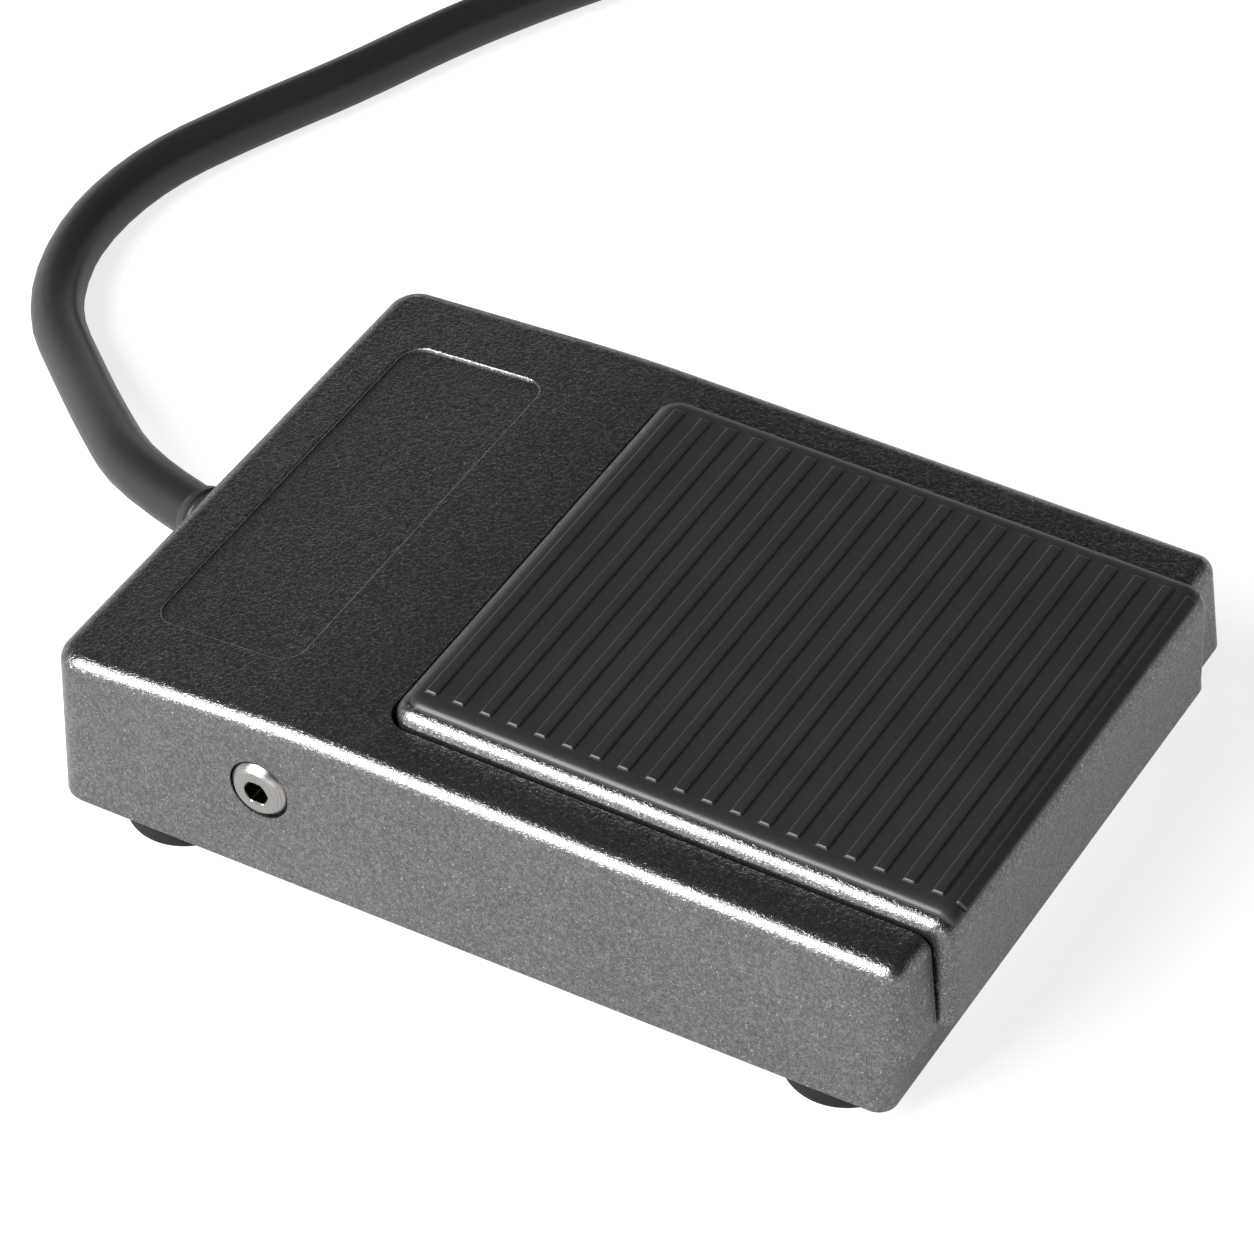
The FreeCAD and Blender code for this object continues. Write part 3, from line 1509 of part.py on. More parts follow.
def cable_entry():
    route = cable_route()
    heading = (Vector(*route[1]) - Vector(*route[0])).normalize()
    barrel_y = inner_rear_y - d.grommet_flange
    flange = rod("grommet_inside", d.grommet_flange_radius, d.grommet_flange, 0, barrel_y, d.cable_height, "Y")
    end_y = rear_y + d.grommet_collar
    barrel = rod("grommet_barrel", d.grommet_radius, end_y - barrel_y, 0, barrel_y, d.cable_height, "Y")
    tail = cone("grommet_tail", d.grommet_tip_radius, d.grommet_radius, d.grommet_tail)
    toward(tail, route[0], -heading)
    bore_end_y = rear_y + 0.5
    bore = rod(
        "grommet_bore",
        d.cable_diameter / 2 + d.cable_fit,
        bore_end_y - barrel_y + 2,
        0,
        barrel_y - 2,
        d.cable_height,
        "Y",
    )
    keep("cable_grommet", cut("cable_grommet", joined("grommet_solid", flange, barrel, tail), bore))

    sheath_y = inner_rear_y - d.sheath_end
    sheath = rod("inner_cable", d.cable_diameter / 2, bore_end_y - sheath_y, 0, sheath_y, d.cable_height, "Y")
    keep("inner_cable", sheath)

    groove = rod(
        "saddle_groove",
        d.cable_diameter / 2 + d.cable_fit,
        d.saddle_length + 4,
        0,
        saddle_y - d.saddle_length / 2 - 2,
        d.cable_height,
        "Y",
    )
    spots = small_screw_spots()["clamp"]
    top_z = d.cable_height + d.cable_diameter / 2 + d.clamp_thickness
    holes = [
        rod(f"saddle_hole_{i}", d.small_screw_radius + d.screw_gap, top_z + 1, x, y, 0)
        for i, (x, y) in enumerate(spots)
    ]
    low = block(
        "saddle_block",
        d.saddle_width,
        d.saddle_length,
        d.cable_height - d.clamp_gap / 2 - plate_top_z,
        0,
        saddle_y,
        plate_top_z,
    )
    keep("cable_saddle", cut("cable_saddle", low, groove, *holes))
    clamp_z = d.cable_height + d.clamp_gap / 2
    high = block("clamp_block", d.saddle_width, d.saddle_length, top_z - clamp_z, 0, saddle_y, clamp_z)
    copies = [doc.copyObject(tool) for tool in (groove, *holes)]
    keep("cable_clamp", cut("cable_clamp", high, *copies))
    head = (d.small_head_radius, d.small_head_height)
    shank = (d.small_screw_radius, top_z - plate_z + d.collar_height)
    screws = [
        screw(f"clamp_screw_{i}", head, shank, d.small_key, x, y, top_z)
        for i, (x, y) in enumerate(spots)
    ]
    group("clamp_screws", screws)


def wires():
    # each core leaves the sheath straight and ends square to its terminal
    radius = number(d.core_radius)
    circle = number(d.core_circle)
    height = number(d.cable_height)
    sheath_y = number(inner_rear_y - d.sheath_end)
    bend_y = sheath_y - number(d.core_straight)
    sleeve_y = number(case_rear_y + d.receptacle_gap + d.receptacle_length)
    low_z = number(case_z + d.blade_lift)
    switch_cores = (("live_wire", -1, d.live_run), ("switched_wire", 1, d.switched_run))
    for i, (name, side, run) in enumerate(switch_cores):
        x = side * circle * math.cos(math.radians(30))
        z = height - circle / 2
        end_z = low_z + number(d.blade_step) * i
        leaving = [(x, sheath_y, z), (x, bend_y, z)]
        arriving = [(0, sleeve_y + number(run), end_z), (0, sleeve_y, end_z)]
        bent_tube(name, leaving + arriving, radius)
    lug_x = number(d.lug_barrel_x)
    lug_y = number(earth_y)
    lug_z = number(lug_barrel_z)
    z = height + circle
    points = [
        (0, sheath_y, z),
        (0, bend_y, z),
        (lug_x * 0.4, lug_y - 1, z - 2.6),
        (lug_x * 0.6, lug_y, lug_z),
        (lug_x, lug_y, lug_z),
    ]
    bent_tube("earth_wire", points, radius)


def terminals():
    sleeves = []
    for i in range(2):
        z = case_z + d.blade_lift + d.blade_step * i
        y = case_rear_y + d.receptacle_gap + d.receptacle_length / 2
        solid = block(
            f"receptacle_block_{i}",
            d.receptacle_width,
            d.receptacle_length,
            d.receptacle_height,
            0,
            y,
            z - d.receptacle_height / 2,
        )
        slot = block(
            f"receptacle_slot_{i}",
            d.blade_width + 0.2,
            d.blade_length * 2,
            d.blade_thickness + 0.2,
            0,
            case_rear_y + 0.3,
            z - d.blade_thickness / 2 - 0.1,
        )
        sleeves.append(cut(f"receptacle_{i}", solid, slot))
    group("wire_receptacles", sleeves)

    tongue = rod("lug_tongue", d.lug_radius, d.lug_thickness, d.earth_x, earth_y, plate_top_z)
    barrel = rod(
        "lug_barrel",
        d.lug_barrel_radius,
        d.lug_barrel_length,
        d.lug_barrel_x,
        earth_y,
        lug_barrel_z,
        "X",
    )
    hole = rod("lug_hole", d.small_screw_radius + d.screw_gap, 4, d.earth_x, earth_y, plate_top_z - 2)
    keep("earth_terminal", cut("earth_terminal", joined("lug_solid", tongue, barrel), hole))
    head = (d.small_head_radius, d.small_head_height)
    shank = (d.small_screw_radius, d.lug_thickness + d.plate_thickness + d.collar_height)
    seat_z = plate_top_z + d.lug_thickness
    keep("earth_screw", screw("earth_screw", head, shank, d.small_key, d.earth_x, earth_y, seat_z))


# Free cable, coil and plug


def coil_line_from(entry, heading):
    # the centre line after t turns: in along the lower layer, up, and out along the upper one
    layer = number(d.layer_turns)
    climb = number(d.climb_turns)
    step = number(d.coil_step)
    turns = 2 * layer + climb
    outer = number(d.coil_diameter) / 2 + step * (layer + climb / 4) / 2
    lean = math.atan(step / (2 * math.pi * outer))
    start_angle = math.atan2(heading.y, heading.x) - lean - math.pi / 2
    outward = Vector(math.cos(start_angle), math.sin(start_angle), 0)
    centre = entry - outward * outer

    def line(t):
        share = min(max((t - layer) / climb, 0.0), 1.0)
        if t <= layer:
            radius = outer - step * t
        elif t <= layer + climb:
            radius = outer - step * layer - step * climb * (share - share**2)
        else:
            radius = outer - step * (turns - t)
        angle = start_angle + 2 * math.pi * t
        rise = step * share**2 * (3 - 2 * share)
        return centre + Vector(radius * math.cos(angle), radius * math.sin(angle), rise)

    return line, turns, centre, outer, start_angle


def free_cable():
    radius = number(d.cable_diameter) / 2
    route = cable_route()
    bent_tube("cable_lead", route, radius)
    end = Vector(*route[-1])
    heading = (end - Vector(*route[-2])).normalize()
    entry = end + heading * 2 * radius
    line, turns, centre, outer, start_angle = coil_line_from(entry, heading)
    coil, coil_end, leaving = wound_tube("cable_coil", line, turns, int(turns * 4), radius, 2 * radius)
    print(f"coil centre ({centre.x:.1f}, {centre.y:.1f}), outer radius {outer + radius:.1f}")

    # tie across the bundle, a quarter turn on from where the cable comes in
    step = number(d.coil_step)
    inner_edge = outer - step * (number(d.layer_turns) + number(d.climb_turns) / 4) - radius
    thick = number(d.tie_thickness)
    gap = 0.1
    wide = outer + radius - inner_edge + 2 * gap
    tall = step + 2 * radius + 2 * gap
    middle = (outer + radius + inner_edge) / 2
    band = doc.addObject("Part::Box", "tie_outside")
    band_width = number(d.tie_width)
    low_z = number(d.coil_lift) - gap
    band.Length, band.Width, band.Height = wide + 2 * thick, band_width, tall + 2 * thick
    band.Placement.Base = Vector(middle - wide / 2 - thick, -band_width / 2, low_z - thick)
    inside = doc.addObject("Part::Box", "tie_inside")
    inside.Length, inside.Width, inside.Height = wide, band_width + 2, tall
    inside.Placement.Base = Vector(middle - wide / 2, -band_width / 2 - 1, low_z)
    tie = keep("coil_tie", cut("coil_tie", band, inside))
    tie.Placement = Placement(
        Vector(centre.x, centre.y, 0), Rotation(Vector(0, 0, 1), math.degrees(start_angle) + 90)
    )

    points = [coil_end]
    bearing = math.atan2(leaving.y, leaving.x)
    for length, turn, fall in TAIL_RUNS:
        bearing -= math.radians(turn)
        flat = math.sqrt(length**2 - fall**2)
        points.append(points[-1] + Vector(flat * math.cos(bearing), flat * math.sin(bearing), -fall))
    bent_tube("cable_tail", [tuple(point) for point in points], radius)
    plug(points[-1], Vector(math.cos(bearing), math.sin(bearing), 0))


def plug(start, heading):
    boot = cone("plug_boot", d.grommet_tip_radius, d.plug_radius - 0.5, d.plug_boot_length)
    keep("plug_boot", toward(boot, start, heading))
    at_shell = start + heading * number(d.plug_boot_length)
    recess = d.plug_ring_length
    face = d.plug_length - recess
    solid = rod("shell_blank", d.plug_radius, d.plug_length)
    mouth = rod("shell_mouth", d.plug_radius - d.plug_wall, recess + 1, 0, 0, face)
    keep("plug_shell", toward(cut("plug_shell", solid, mouth), at_shell, heading))
    ring = tube_piece(
        "plug_coupling_ring", d.plug_ring_radius, d.plug_radius + 0.1, recess, 0, 0, 0, "Z"
    )
    at_insert = at_shell + heading * number(face)
    keep("plug_coupling_ring", toward(ring, at_insert, heading))
    core = rod("insert_blank", d.plug_radius - d.plug_wall - 0.05, recess - 0.5)
    holes = []
    sleeves = []
    for i in range(3):
        angle = 90 + 120 * i
        x = d.socket_circle * cosine(angle)
        y = d.socket_circle * sine(angle)
        holes.append(rod(f"socket_hole_{i}", d.socket_radius + 0.05, d.plug_length, x, y, -1))
        sleeves.append(tube_piece(f"socket_{i}", d.socket_radius, d.socket_bore, recess - 1.5, x, y, 0, "Z"))
    keep("plug_insert", toward(cut("plug_insert", core, *holes), at_insert, heading))
    toward(group("plug_sockets", sleeves), at_insert, heading)


housing()
base()
feet_and_base_screws()
pedal()
tread_mat()
pivot()
switch()
actuator()
spring_and_stops()
cable_entry()
wires()
terminals()
free_cable()
doc.recompute()

os.makedirs("parts", exist_ok=True)
problems = []
for name, thing in nodes.items():
    shape = thing.Shape
    if "Invalid" in thing.State or "Error" in thing.State:
        problems.append(f"{name}: state {thing.State}")
    if shape.isNull() or not shape.isValid() or not shape.Solids:
        problems.append(f"{name}: null or not valid")
        continue
    box = shape.optimalBoundingBox()
    print(
        f"{name}: {len(shape.Solids)} solid(s), {shape.Volume / 1000:.3f} cm3,"
        f" x {box.XMin:.2f} to {box.XMax:.2f}, y {box.YMin:.2f} to {box.YMax:.2f},"
        f" z {box.ZMin:.2f} to {box.ZMax:.2f}"
    )
    shape.exportStep(f"parts/{name}.step")
for thing in doc.Objects:
    if "Invalid" in thing.State or "Error" in thing.State:
        problems.append(f"{thing.Name}: state {thing.State}")
if problems:
    raise ValueError("; ".join(problems))
print(f"{len(nodes)} nodes exported")
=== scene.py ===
import math

import bmesh
import bpy
import numpy as np
from mathutils import Matrix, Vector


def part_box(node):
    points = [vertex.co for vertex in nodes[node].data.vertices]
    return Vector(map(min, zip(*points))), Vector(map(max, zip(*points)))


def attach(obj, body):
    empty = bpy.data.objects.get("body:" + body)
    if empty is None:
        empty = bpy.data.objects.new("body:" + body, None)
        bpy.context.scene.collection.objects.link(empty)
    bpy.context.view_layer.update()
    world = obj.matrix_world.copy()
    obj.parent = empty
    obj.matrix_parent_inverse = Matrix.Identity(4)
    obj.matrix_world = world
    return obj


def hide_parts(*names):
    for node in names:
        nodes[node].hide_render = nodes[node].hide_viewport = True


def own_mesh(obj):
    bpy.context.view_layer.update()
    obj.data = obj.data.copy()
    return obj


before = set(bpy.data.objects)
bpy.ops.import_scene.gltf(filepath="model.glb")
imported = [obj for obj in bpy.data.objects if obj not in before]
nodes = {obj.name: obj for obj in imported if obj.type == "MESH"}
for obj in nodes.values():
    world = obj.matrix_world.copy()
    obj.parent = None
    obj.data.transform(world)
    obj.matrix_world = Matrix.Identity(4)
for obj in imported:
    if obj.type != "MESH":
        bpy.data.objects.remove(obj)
bpy.context.view_layer.update()
print("frame loaded,", len(nodes), "nodes")

mm = 0.001


# materials


def newGroup(name, inputs, outputs):
    group = bpy.data.node_groups.new(name, "ShaderNodeTree")
    for label, kind, value in inputs:
        socket = group.interface.new_socket(name=label, in_out="INPUT", socket_type=kind)
        if value is not None:
            socket.default_value = value
    for label, kind in outputs:
        group.interface.new_socket(name=label, in_out="OUTPUT", socket_type=kind)
    return group, group.nodes.new("NodeGroupInput"), group.nodes.new("NodeGroupOutput")


def addNode(tree, kind, links=None, **settings):
    # links feed the node's inputs, by name or number, with another node's output or a plain value
    node = tree.nodes.new(kind)
    for key, value in settings.items():
        setattr(node, key, value)
    for key, source in (links or {}).items():
        if isinstance(source, bpy.types.NodeSocket):
            tree.links.new(source, node.inputs[key])
        else:
            node.inputs[key].default_value = source
    return node


def mathNode(tree, operation, *values, clamp=False):
    return addNode(
        tree, "ShaderNodeMath", dict(enumerate(values)), operation=operation, use_clamp=clamp
    ).outputs[0]


def noise(tree, vector, scale, detail, **others):
    links = {"Vector": vector, "Scale": scale, "Detail": detail, **others}
    return addNode(tree, "ShaderNodeTexNoise", links).outputs[0]


def mixColor(tree, share, first, second, blend="MIX"):
    node = addNode(tree, "ShaderNodeMix", data_type="RGBA", blend_type=blend)
    for slotNumber, source in ((0, share), (6, first), (7, second)):
        if isinstance(source, bpy.types.NodeSocket):
            tree.links.new(source, node.inputs[slotNumber])
        else:
            node.inputs[slotNumber].default_value = source
    return node.outputs[2]


def shaded(tree, color, factor):
    # the colour times one factor for all three channels
    shade = addNode(tree, "ShaderNodeCombineColor", {0: factor, 1: factor, 2: factor})
    return mixColor(tree, 1.0, color, shade.outputs[0], "MULTIPLY")


def rampNode(tree, value, fromLow, fromHigh, toLow=0.0, toHigh=1.0):
    limits = {0: value, 1: fromLow, 2: fromHigh, 3: toLow, 4: toHigh}
    return addNode(tree, "ShaderNodeMapRange", limits).outputs[0]


grainPattern = {"fineDetail": 3.0, "coarseDetail": 4.0, "coarseRoughness": 0.6, "fineShare": 0.5}


def buildFineGrain():
    # colour mottled by a coarse noise, height and roughness from a fine one
    group, start, end = newGroup(
        "fineGrain",
        [
            ("Vector", "NodeSocketVector", None),
            ("Color", "NodeSocketColor", (0.1, 0.1, 0.1, 1)),
            ("Grain Scale", "NodeSocketFloat", 1500.0),
            ("Mottle Scale", "NodeSocketFloat", 60.0),
            ("Mottle", "NodeSocketFloat", 0.2),
            ("Roughness", "NodeSocketFloat", 0.5),
            ("Roughness Spread", "NodeSocketFloat", 0.1),
        ],
        [("Color", "NodeSocketColor"), ("Roughness", "NodeSocketFloat"), ("Height", "NodeSocketFloat")],
    )
    given = start.outputs
    fine = noise(group, given["Vector"], given["Grain Scale"], grainPattern["fineDetail"])
    coarse = noise(
        group,
        given["Vector"],
        given["Mottle Scale"],
        grainPattern["coarseDetail"],
        Roughness=grainPattern["coarseRoughness"],
    )
    fineHalf = mathNode(group, "MULTIPLY", fine, grainPattern["fineShare"])
    coarseHalf = mathNode(group, "MULTIPLY", coarse, 1 - grainPattern["fineShare"])
    both = mathNode(group, "ADD", fineHalf, coarseHalf)
    swing = mathNode(group, "MULTIPLY", mathNode(group, "SUBTRACT", both, 0.5), 2.0)
    factor = mathNode(group, "ADD", mathNode(group, "MULTIPLY", swing, given["Mottle"]), 1.0)
    color = shaded(group, given["Color"], factor)
    spread = mathNode(group, "MULTIPLY", swing, given["Roughness Spread"])
    rough = mathNode(group, "ADD", given["Roughness"], spread, clamp=True)
    group.links.new(color, end.inputs["Color"])
    group.links.new(rough, end.inputs["Roughness"])
    group.links.new(fine, end.inputs["Height"])
    return group


coatPattern = {
    "wormDetail": 1.5,
    "wormDistortion": 0.9,
    "wormHalfWidth": 0.14,
    "sparkScale": 1.7,
    "sparkFrom": 0.68,
    "sparkTo": 0.76,
    "cloudScale": 60.0,
    "cloudDrift": 0.25,
    "roughnessShare": 0.15,
}


def buildPowderCoat():
    # a wrinkled film: worm-like ridges where a noise crosses its middle, and a few fine sparks
    group, start, end = newGroup(
        "powderCoat",
        [
            ("Vector", "NodeSocketVector", None),
            ("Color", "NodeSocketColor", (0.1, 0.1, 0.1, 1)),
            ("Spark Color", "NodeSocketColor", (0.6, 0.6, 0.6, 1)),
            ("Grain Scale", "NodeSocketFloat", 1500.0),
            ("Contrast", "NodeSocketFloat", 0.3),
            ("Sparks", "NodeSocketFloat", 0.5),
            ("Roughness", "NodeSocketFloat", 0.3),
        ],
        [("Color", "NodeSocketColor"), ("Roughness", "NodeSocketFloat"), ("Height", "NodeSocketFloat")],
    )
    given = start.outputs
    worms = noise(
        group,
        given["Vector"],
        given["Grain Scale"],
        coatPattern["wormDetail"],
        Distortion=coatPattern["wormDistortion"],
    )
    sparkScale = mathNode(group, "MULTIPLY", given["Grain Scale"], coatPattern["sparkScale"])
    sparks = noise(group, given["Vector"], sparkScale, 1.0)
    cloud = noise(group, given["Vector"], coatPattern["cloudScale"], 3.0)
    away = mathNode(group, "ABSOLUTE", mathNode(group, "SUBTRACT", worms, 0.5))
    ridge = rampNode(group, away, 0.0, coatPattern["wormHalfWidth"])
    swing = mathNode(group, "MULTIPLY", mathNode(group, "SUBTRACT", ridge, 0.5), given["Contrast"])
    fromMiddle = mathNode(group, "SUBTRACT", cloud, 0.5)
    drift = mathNode(group, "MULTIPLY", fromMiddle, coatPattern["cloudDrift"])
    factor = mathNode(group, "ADD", mathNode(group, "ADD", swing, 1.0), drift)
    body = shaded(group, given["Color"], factor)
    spark = rampNode(group, sparks, coatPattern["sparkFrom"], coatPattern["sparkTo"])
    spark = mathNode(group, "MULTIPLY", spark, given["Sparks"])
    group.links.new(mixColor(group, spark, body, given["Spark Color"]), end.inputs["Color"])
    smoother = mathNode(group, "MULTIPLY", swing, coatPattern["roughnessShare"])
    rough = mathNode(group, "SUBTRACT", given["Roughness"], smoother, clamp=True)
    group.links.new(rough, end.inputs["Roughness"])
    group.links.new(ridge, end.inputs["Height"])
    return group


ringPattern = {
    "distortion": 1.5,
    "detail": 2.0,
    "detailScale": 3.0,
    "darkest": 0.82,
    "lightest": 1.06,
    "smudgeScale": 300.0,
    "smudgeShare": 0.25,
    # the socket's dark colour is painted shade for the hollow
    "socketShadeColor": (0.05, 0.047, 0.043, 1),
}


def buildTurnedRings():
    # rings of a lathe tool about the X axis of the vector given, and the socket in the middle painted dark
    # as shade
    group, start, end = newGroup(
        "turnedRings",
        [
            ("Vector", "NodeSocketVector", None),
            ("Color", "NodeSocketColor", (0.6, 0.6, 0.6, 1)),
            ("Ring Scale", "NodeSocketFloat", 900.0),
            ("Roughness", "NodeSocketFloat", 0.25),
            ("Shaded Socket Radius", "NodeSocketFloat", 0.0),
        ],
        [("Color", "NodeSocketColor"), ("Roughness", "NodeSocketFloat"), ("Height", "NodeSocketFloat")],
    )
    given = start.outputs
    rings = addNode(
        group,
        "ShaderNodeTexWave",
        {
            "Vector": given["Vector"],
            "Scale": given["Ring Scale"],
            "Distortion": ringPattern["distortion"],
            "Detail": ringPattern["detail"],
            "Detail Scale": ringPattern["detailScale"],
        },
        wave_type="RINGS",
        rings_direction="X",
    )
    smudge = noise(group, given["Vector"], ringPattern["smudgeScale"], 3.0)
    factor = rampNode(group, rings.outputs[1], 0.0, 1.0, ringPattern["darkest"], ringPattern["lightest"])
    metal = shaded(group, given["Color"], factor)
    flat = addNode(group, "ShaderNodeVectorMath", {0: given["Vector"], 1: (0, 1, 1)}, operation="MULTIPLY")
    reach = addNode(group, "ShaderNodeVectorMath", {0: flat.outputs[0]}, operation="LENGTH").outputs[1]
    # within the socket's radius the colour turns dark: painted shade in the socket
    inShadedSocket = mathNode(group, "LESS_THAN", reach, given["Shaded Socket Radius"])
    group.links.new(mixColor(group, inShadedSocket, metal, ringPattern["socketShadeColor"]), end.inputs["Color"])
    fromMiddle = mathNode(group, "SUBTRACT", smudge, 0.5)
    spread = mathNode(group, "MULTIPLY", fromMiddle, ringPattern["smudgeShare"])
    group.links.new(mathNode(group, "ADD", given["Roughness"], spread, clamp=True), end.inputs["Roughness"])
    group.links.new(rings.outputs[1], end.inputs["Height"])
    return group


weavePattern = {"along": 5.2, "across": 7.8}  # radians for each millimetre


def buildWeave():
    # threads over and under along an attribute that counts millimetres along and across the strap
    group, start, end = newGroup(
        "weave",
        [
            ("Vector", "NodeSocketVector", None),
            ("Color", "NodeSocketColor", (0.04, 0.04, 0.04, 1)),
            ("Thread Color", "NodeSocketColor", (0.09, 0.09, 0.09, 1)),
        ],
        [("Color", "NodeSocketColor"), ("Height", "NodeSocketFloat")],
    )
    given = start.outputs
    parts = addNode(group, "ShaderNodeSeparateXYZ", {0: given["Vector"]})
    along = mathNode(group, "SINE", mathNode(group, "MULTIPLY", parts.outputs[0], weavePattern["along"]))
    across = mathNode(group, "SINE", mathNode(group, "MULTIPLY", parts.outputs[1], weavePattern["across"]))
    crossing = mathNode(group, "MULTIPLY", along, across)
    height = rampNode(group, crossing, -1.0, 1.0)
    group.links.new(mixColor(group, height, given["Color"], given["Thread Color"]), end.inputs["Color"])
    group.links.new(height, end.inputs["Height"])
    return group


fineGrain = buildFineGrain()
powderCoat = buildPowderCoat()
turnedRings = buildTurnedRings()
weave = buildWeave()


def newMaterial(name, group, values, metallic=0.0, specular=0.5, bump=0.0, depth=0.02, vector=None):
    # the group's colour and roughness feed the shader, and its height a bump of the depth in millimetres
    material = bpy.data.materials.new(name)
    material.use_nodes = True
    tree = material.node_tree
    shader = tree.nodes["Principled BSDF"]
    place = tree.nodes.new("ShaderNodeTexCoord").outputs["Object"] if vector is None else vector(tree)
    finish = tree.nodes.new("ShaderNodeGroup")
    finish.node_tree = group
    tree.links.new(place, finish.inputs["Vector"])
    for key, value in values.items():
        finish.inputs[key].default_value = (*value, 1) if isinstance(value, tuple) else value
    tree.links.new(finish.outputs["Color"], shader.inputs["Base Color"])
    if "Roughness" in finish.outputs:
        tree.links.new(finish.outputs["Roughness"], shader.inputs["Roughness"])
    shader.inputs["Metallic"].default_value = metallic
    shader.inputs["Specular IOR Level"].default_value = specular
    if bump:
        relief = addNode(
            tree,
            "ShaderNodeBump",
            {"Height": finish.outputs["Height"], "Strength": bump, "Distance": depth * mm},
        )
        tree.links.new(relief.outputs[0], shader.inputs["Normal"])
    return material


def centredOn(x, y, z, turn=(0, 0, 0)):
    # object coordinates moved so that a turned pattern has its middle at a point
    def build(tree):
        place = tree.nodes.new("ShaderNodeTexCoord").outputs["Object"]
        links = {"Vector": place, "Location": (x, y, z), "Rotation": turn}
        return addNode(tree, "ShaderNodeMapping", links, vector_type="TEXTURE").outputs[0]

    return build


coatFinish = {
    "Color": (0.19, 0.19, 0.193),
    "Spark Color": (0.75, 0.75, 0.76),
    "Grain Scale": 1350.0,
    "Contrast": 0.65,
    "Sparks": 0.6,
    "Roughness": 0.24,
}
rubberFinish = {
    "Color": (0.026, 0.026, 0.027),
    "Grain Scale": 2200.0,
    "Mottle Scale": 70.0,
    "Mottle": 0.35,
    "Roughness": 0.34,
    "Roughness Spread": 0.08,
}

coat = newMaterial("coat", powderCoat, coatFinish, metallic=0.92, bump=0.6, depth=0.045)
rubber = newMaterial("rubber", fineGrain, rubberFinish, bump=0.3, depth=0.02)
sheath = newMaterial(
    "sheath",
    fineGrain,
    {**rubberFinish, "Color": (0.017, 0.017, 0.018), "Mottle": 0.15, "Grain Scale": 2600.0},
    bump=0.2,
)


def metal(name, color, grain, mottleScale, mottle, roughness, bump):
    values = {
        "Color": color,
        "Grain Scale": grain,
        "Mottle Scale": mottleScale,
        "Mottle": mottle,
        "Roughness": roughness,
    }
    return newMaterial(name, fineGrain, values, metallic=1.0, bump=bump)


zinc = metal("zinc", (0.62, 0.62, 0.6), 900.0, 120.0, 0.3, 0.36, 0.2)
steel = metal("steel", (0.6, 0.6, 0.6), 1400.0, 200.0, 0.15, 0.25, 0.1)
bronze = metal("bronze", (0.72, 0.55, 0.3), 2600.0, 300.0, 0.5, 0.42, 0.4)
contact = metal("contact", (0.8, 0.66, 0.38), 1200.0, 150.0, 0.15, 0.28, 0.1)
# the feet's rubber is darker than the rubber's own colour: painted shade for the feet under the housing;
# its roughness and specular are its own
shadedFootRubber = newMaterial(
    "shadedFootRubber",
    fineGrain,
    {**rubberFinish, "Color": (0.012, 0.012, 0.012), "Roughness": 0.62},
    specular=0.25,
    bump=0.3,
)


def plastic(name, color, roughness=0.45):
    values = {
        "Color": color,
        "Grain Scale": 3000.0,
        "Mottle Scale": 90.0,
        "Mottle": 0.1,
        "Roughness": roughness,
    }
    return newMaterial(name, fineGrain, values, bump=0.15)


case = plastic("case", (0.06, 0.06, 0.06))
cover = plastic("cover", (0.35, 0.06, 0.05))
red = plastic("red", (0.6, 0.08, 0.06), 0.3)
grey = plastic("grey", (0.5, 0.5, 0.5))
brown = plastic("brown", (0.28, 0.14, 0.07), 0.35)
blue = plastic("blue", (0.06, 0.2, 0.5), 0.35)
green = plastic("green", (0.3, 0.5, 0.1), 0.35)

pivotAxis = (0.0, 0.03893, 0.0217)
# out to this radius round the pivot axis the screw heads' socket is painted dark as shade
shadedSocketRadius = 0.00225
nickelFinish = {"Color": (0.42, 0.405, 0.385), "Ring Scale": 750.0, "Roughness": 0.28}
nickel = newMaterial(
    "nickel",
    turnedRings,
    {**nickelFinish, "Shaded Socket Radius": shadedSocketRadius},
    metallic=1.0,
    bump=0.15,
    depth=0.01,
    vector=centredOn(*pivotAxis),
)


def threadsAttribute(tree):
    return addNode(tree, "ShaderNodeAttribute", attribute_name="threads").outputs["Vector"]


webbing = newMaterial("webbing", weave, {}, bump=0.6, depth=0.15, vector=threadsAttribute)

slotMaterials = {
    "coat": coat,
    "zinc": zinc,
    "nickel": nickel,
    "steel": steel,
    "mat": rubber,
    "rubber": rubber,
    "sheath": sheath,
    "bronze": bronze,
    "case": case,
    "cover": cover,
    "red": red,
    "contact": contact,
    "grey": grey,
    "brown": brown,
    "blue": blue,
    "green": green,
    "strap": webbing,
}
for node in nodes.values():
    for materialSlot in node.material_slots:
        materialSlot.material = slotMaterials[materialSlot.material.name.split(".")[0]]
# the feet get the darker rubber, which paints their shade
for end in ("front", "rear"):
    for side in ("left", "right"):
        nodes[f"{end}_{side}_foot"].material_slots[0].material = shadedFootRubber
print("materials on the frame's nodes")


# mesh tools


def gridFaces(rows, columns, closeRows, closeColumns, first):
    # each face joins four neighbours of the grid, and a closed way joins its last line to its first
    row = np.arange(rows if closeRows else rows - 1)
    column = np.arange(columns if closeColumns else columns - 1)
    here, side = np.meshgrid(row, column, indexing="ij")
    nextRow, nextColumn = (here + 1) % rows, (side + 1) % columns
    corners = (
        here * columns + side,
        nextRow * columns + side,
        nextRow * columns + nextColumn,
        here * columns + nextColumn,
    )
    return np.stack([corner.ravel() for corner in corners], 1) + first


mergeWithin, degenerateBelow = 2e-6, 1e-7  # metres


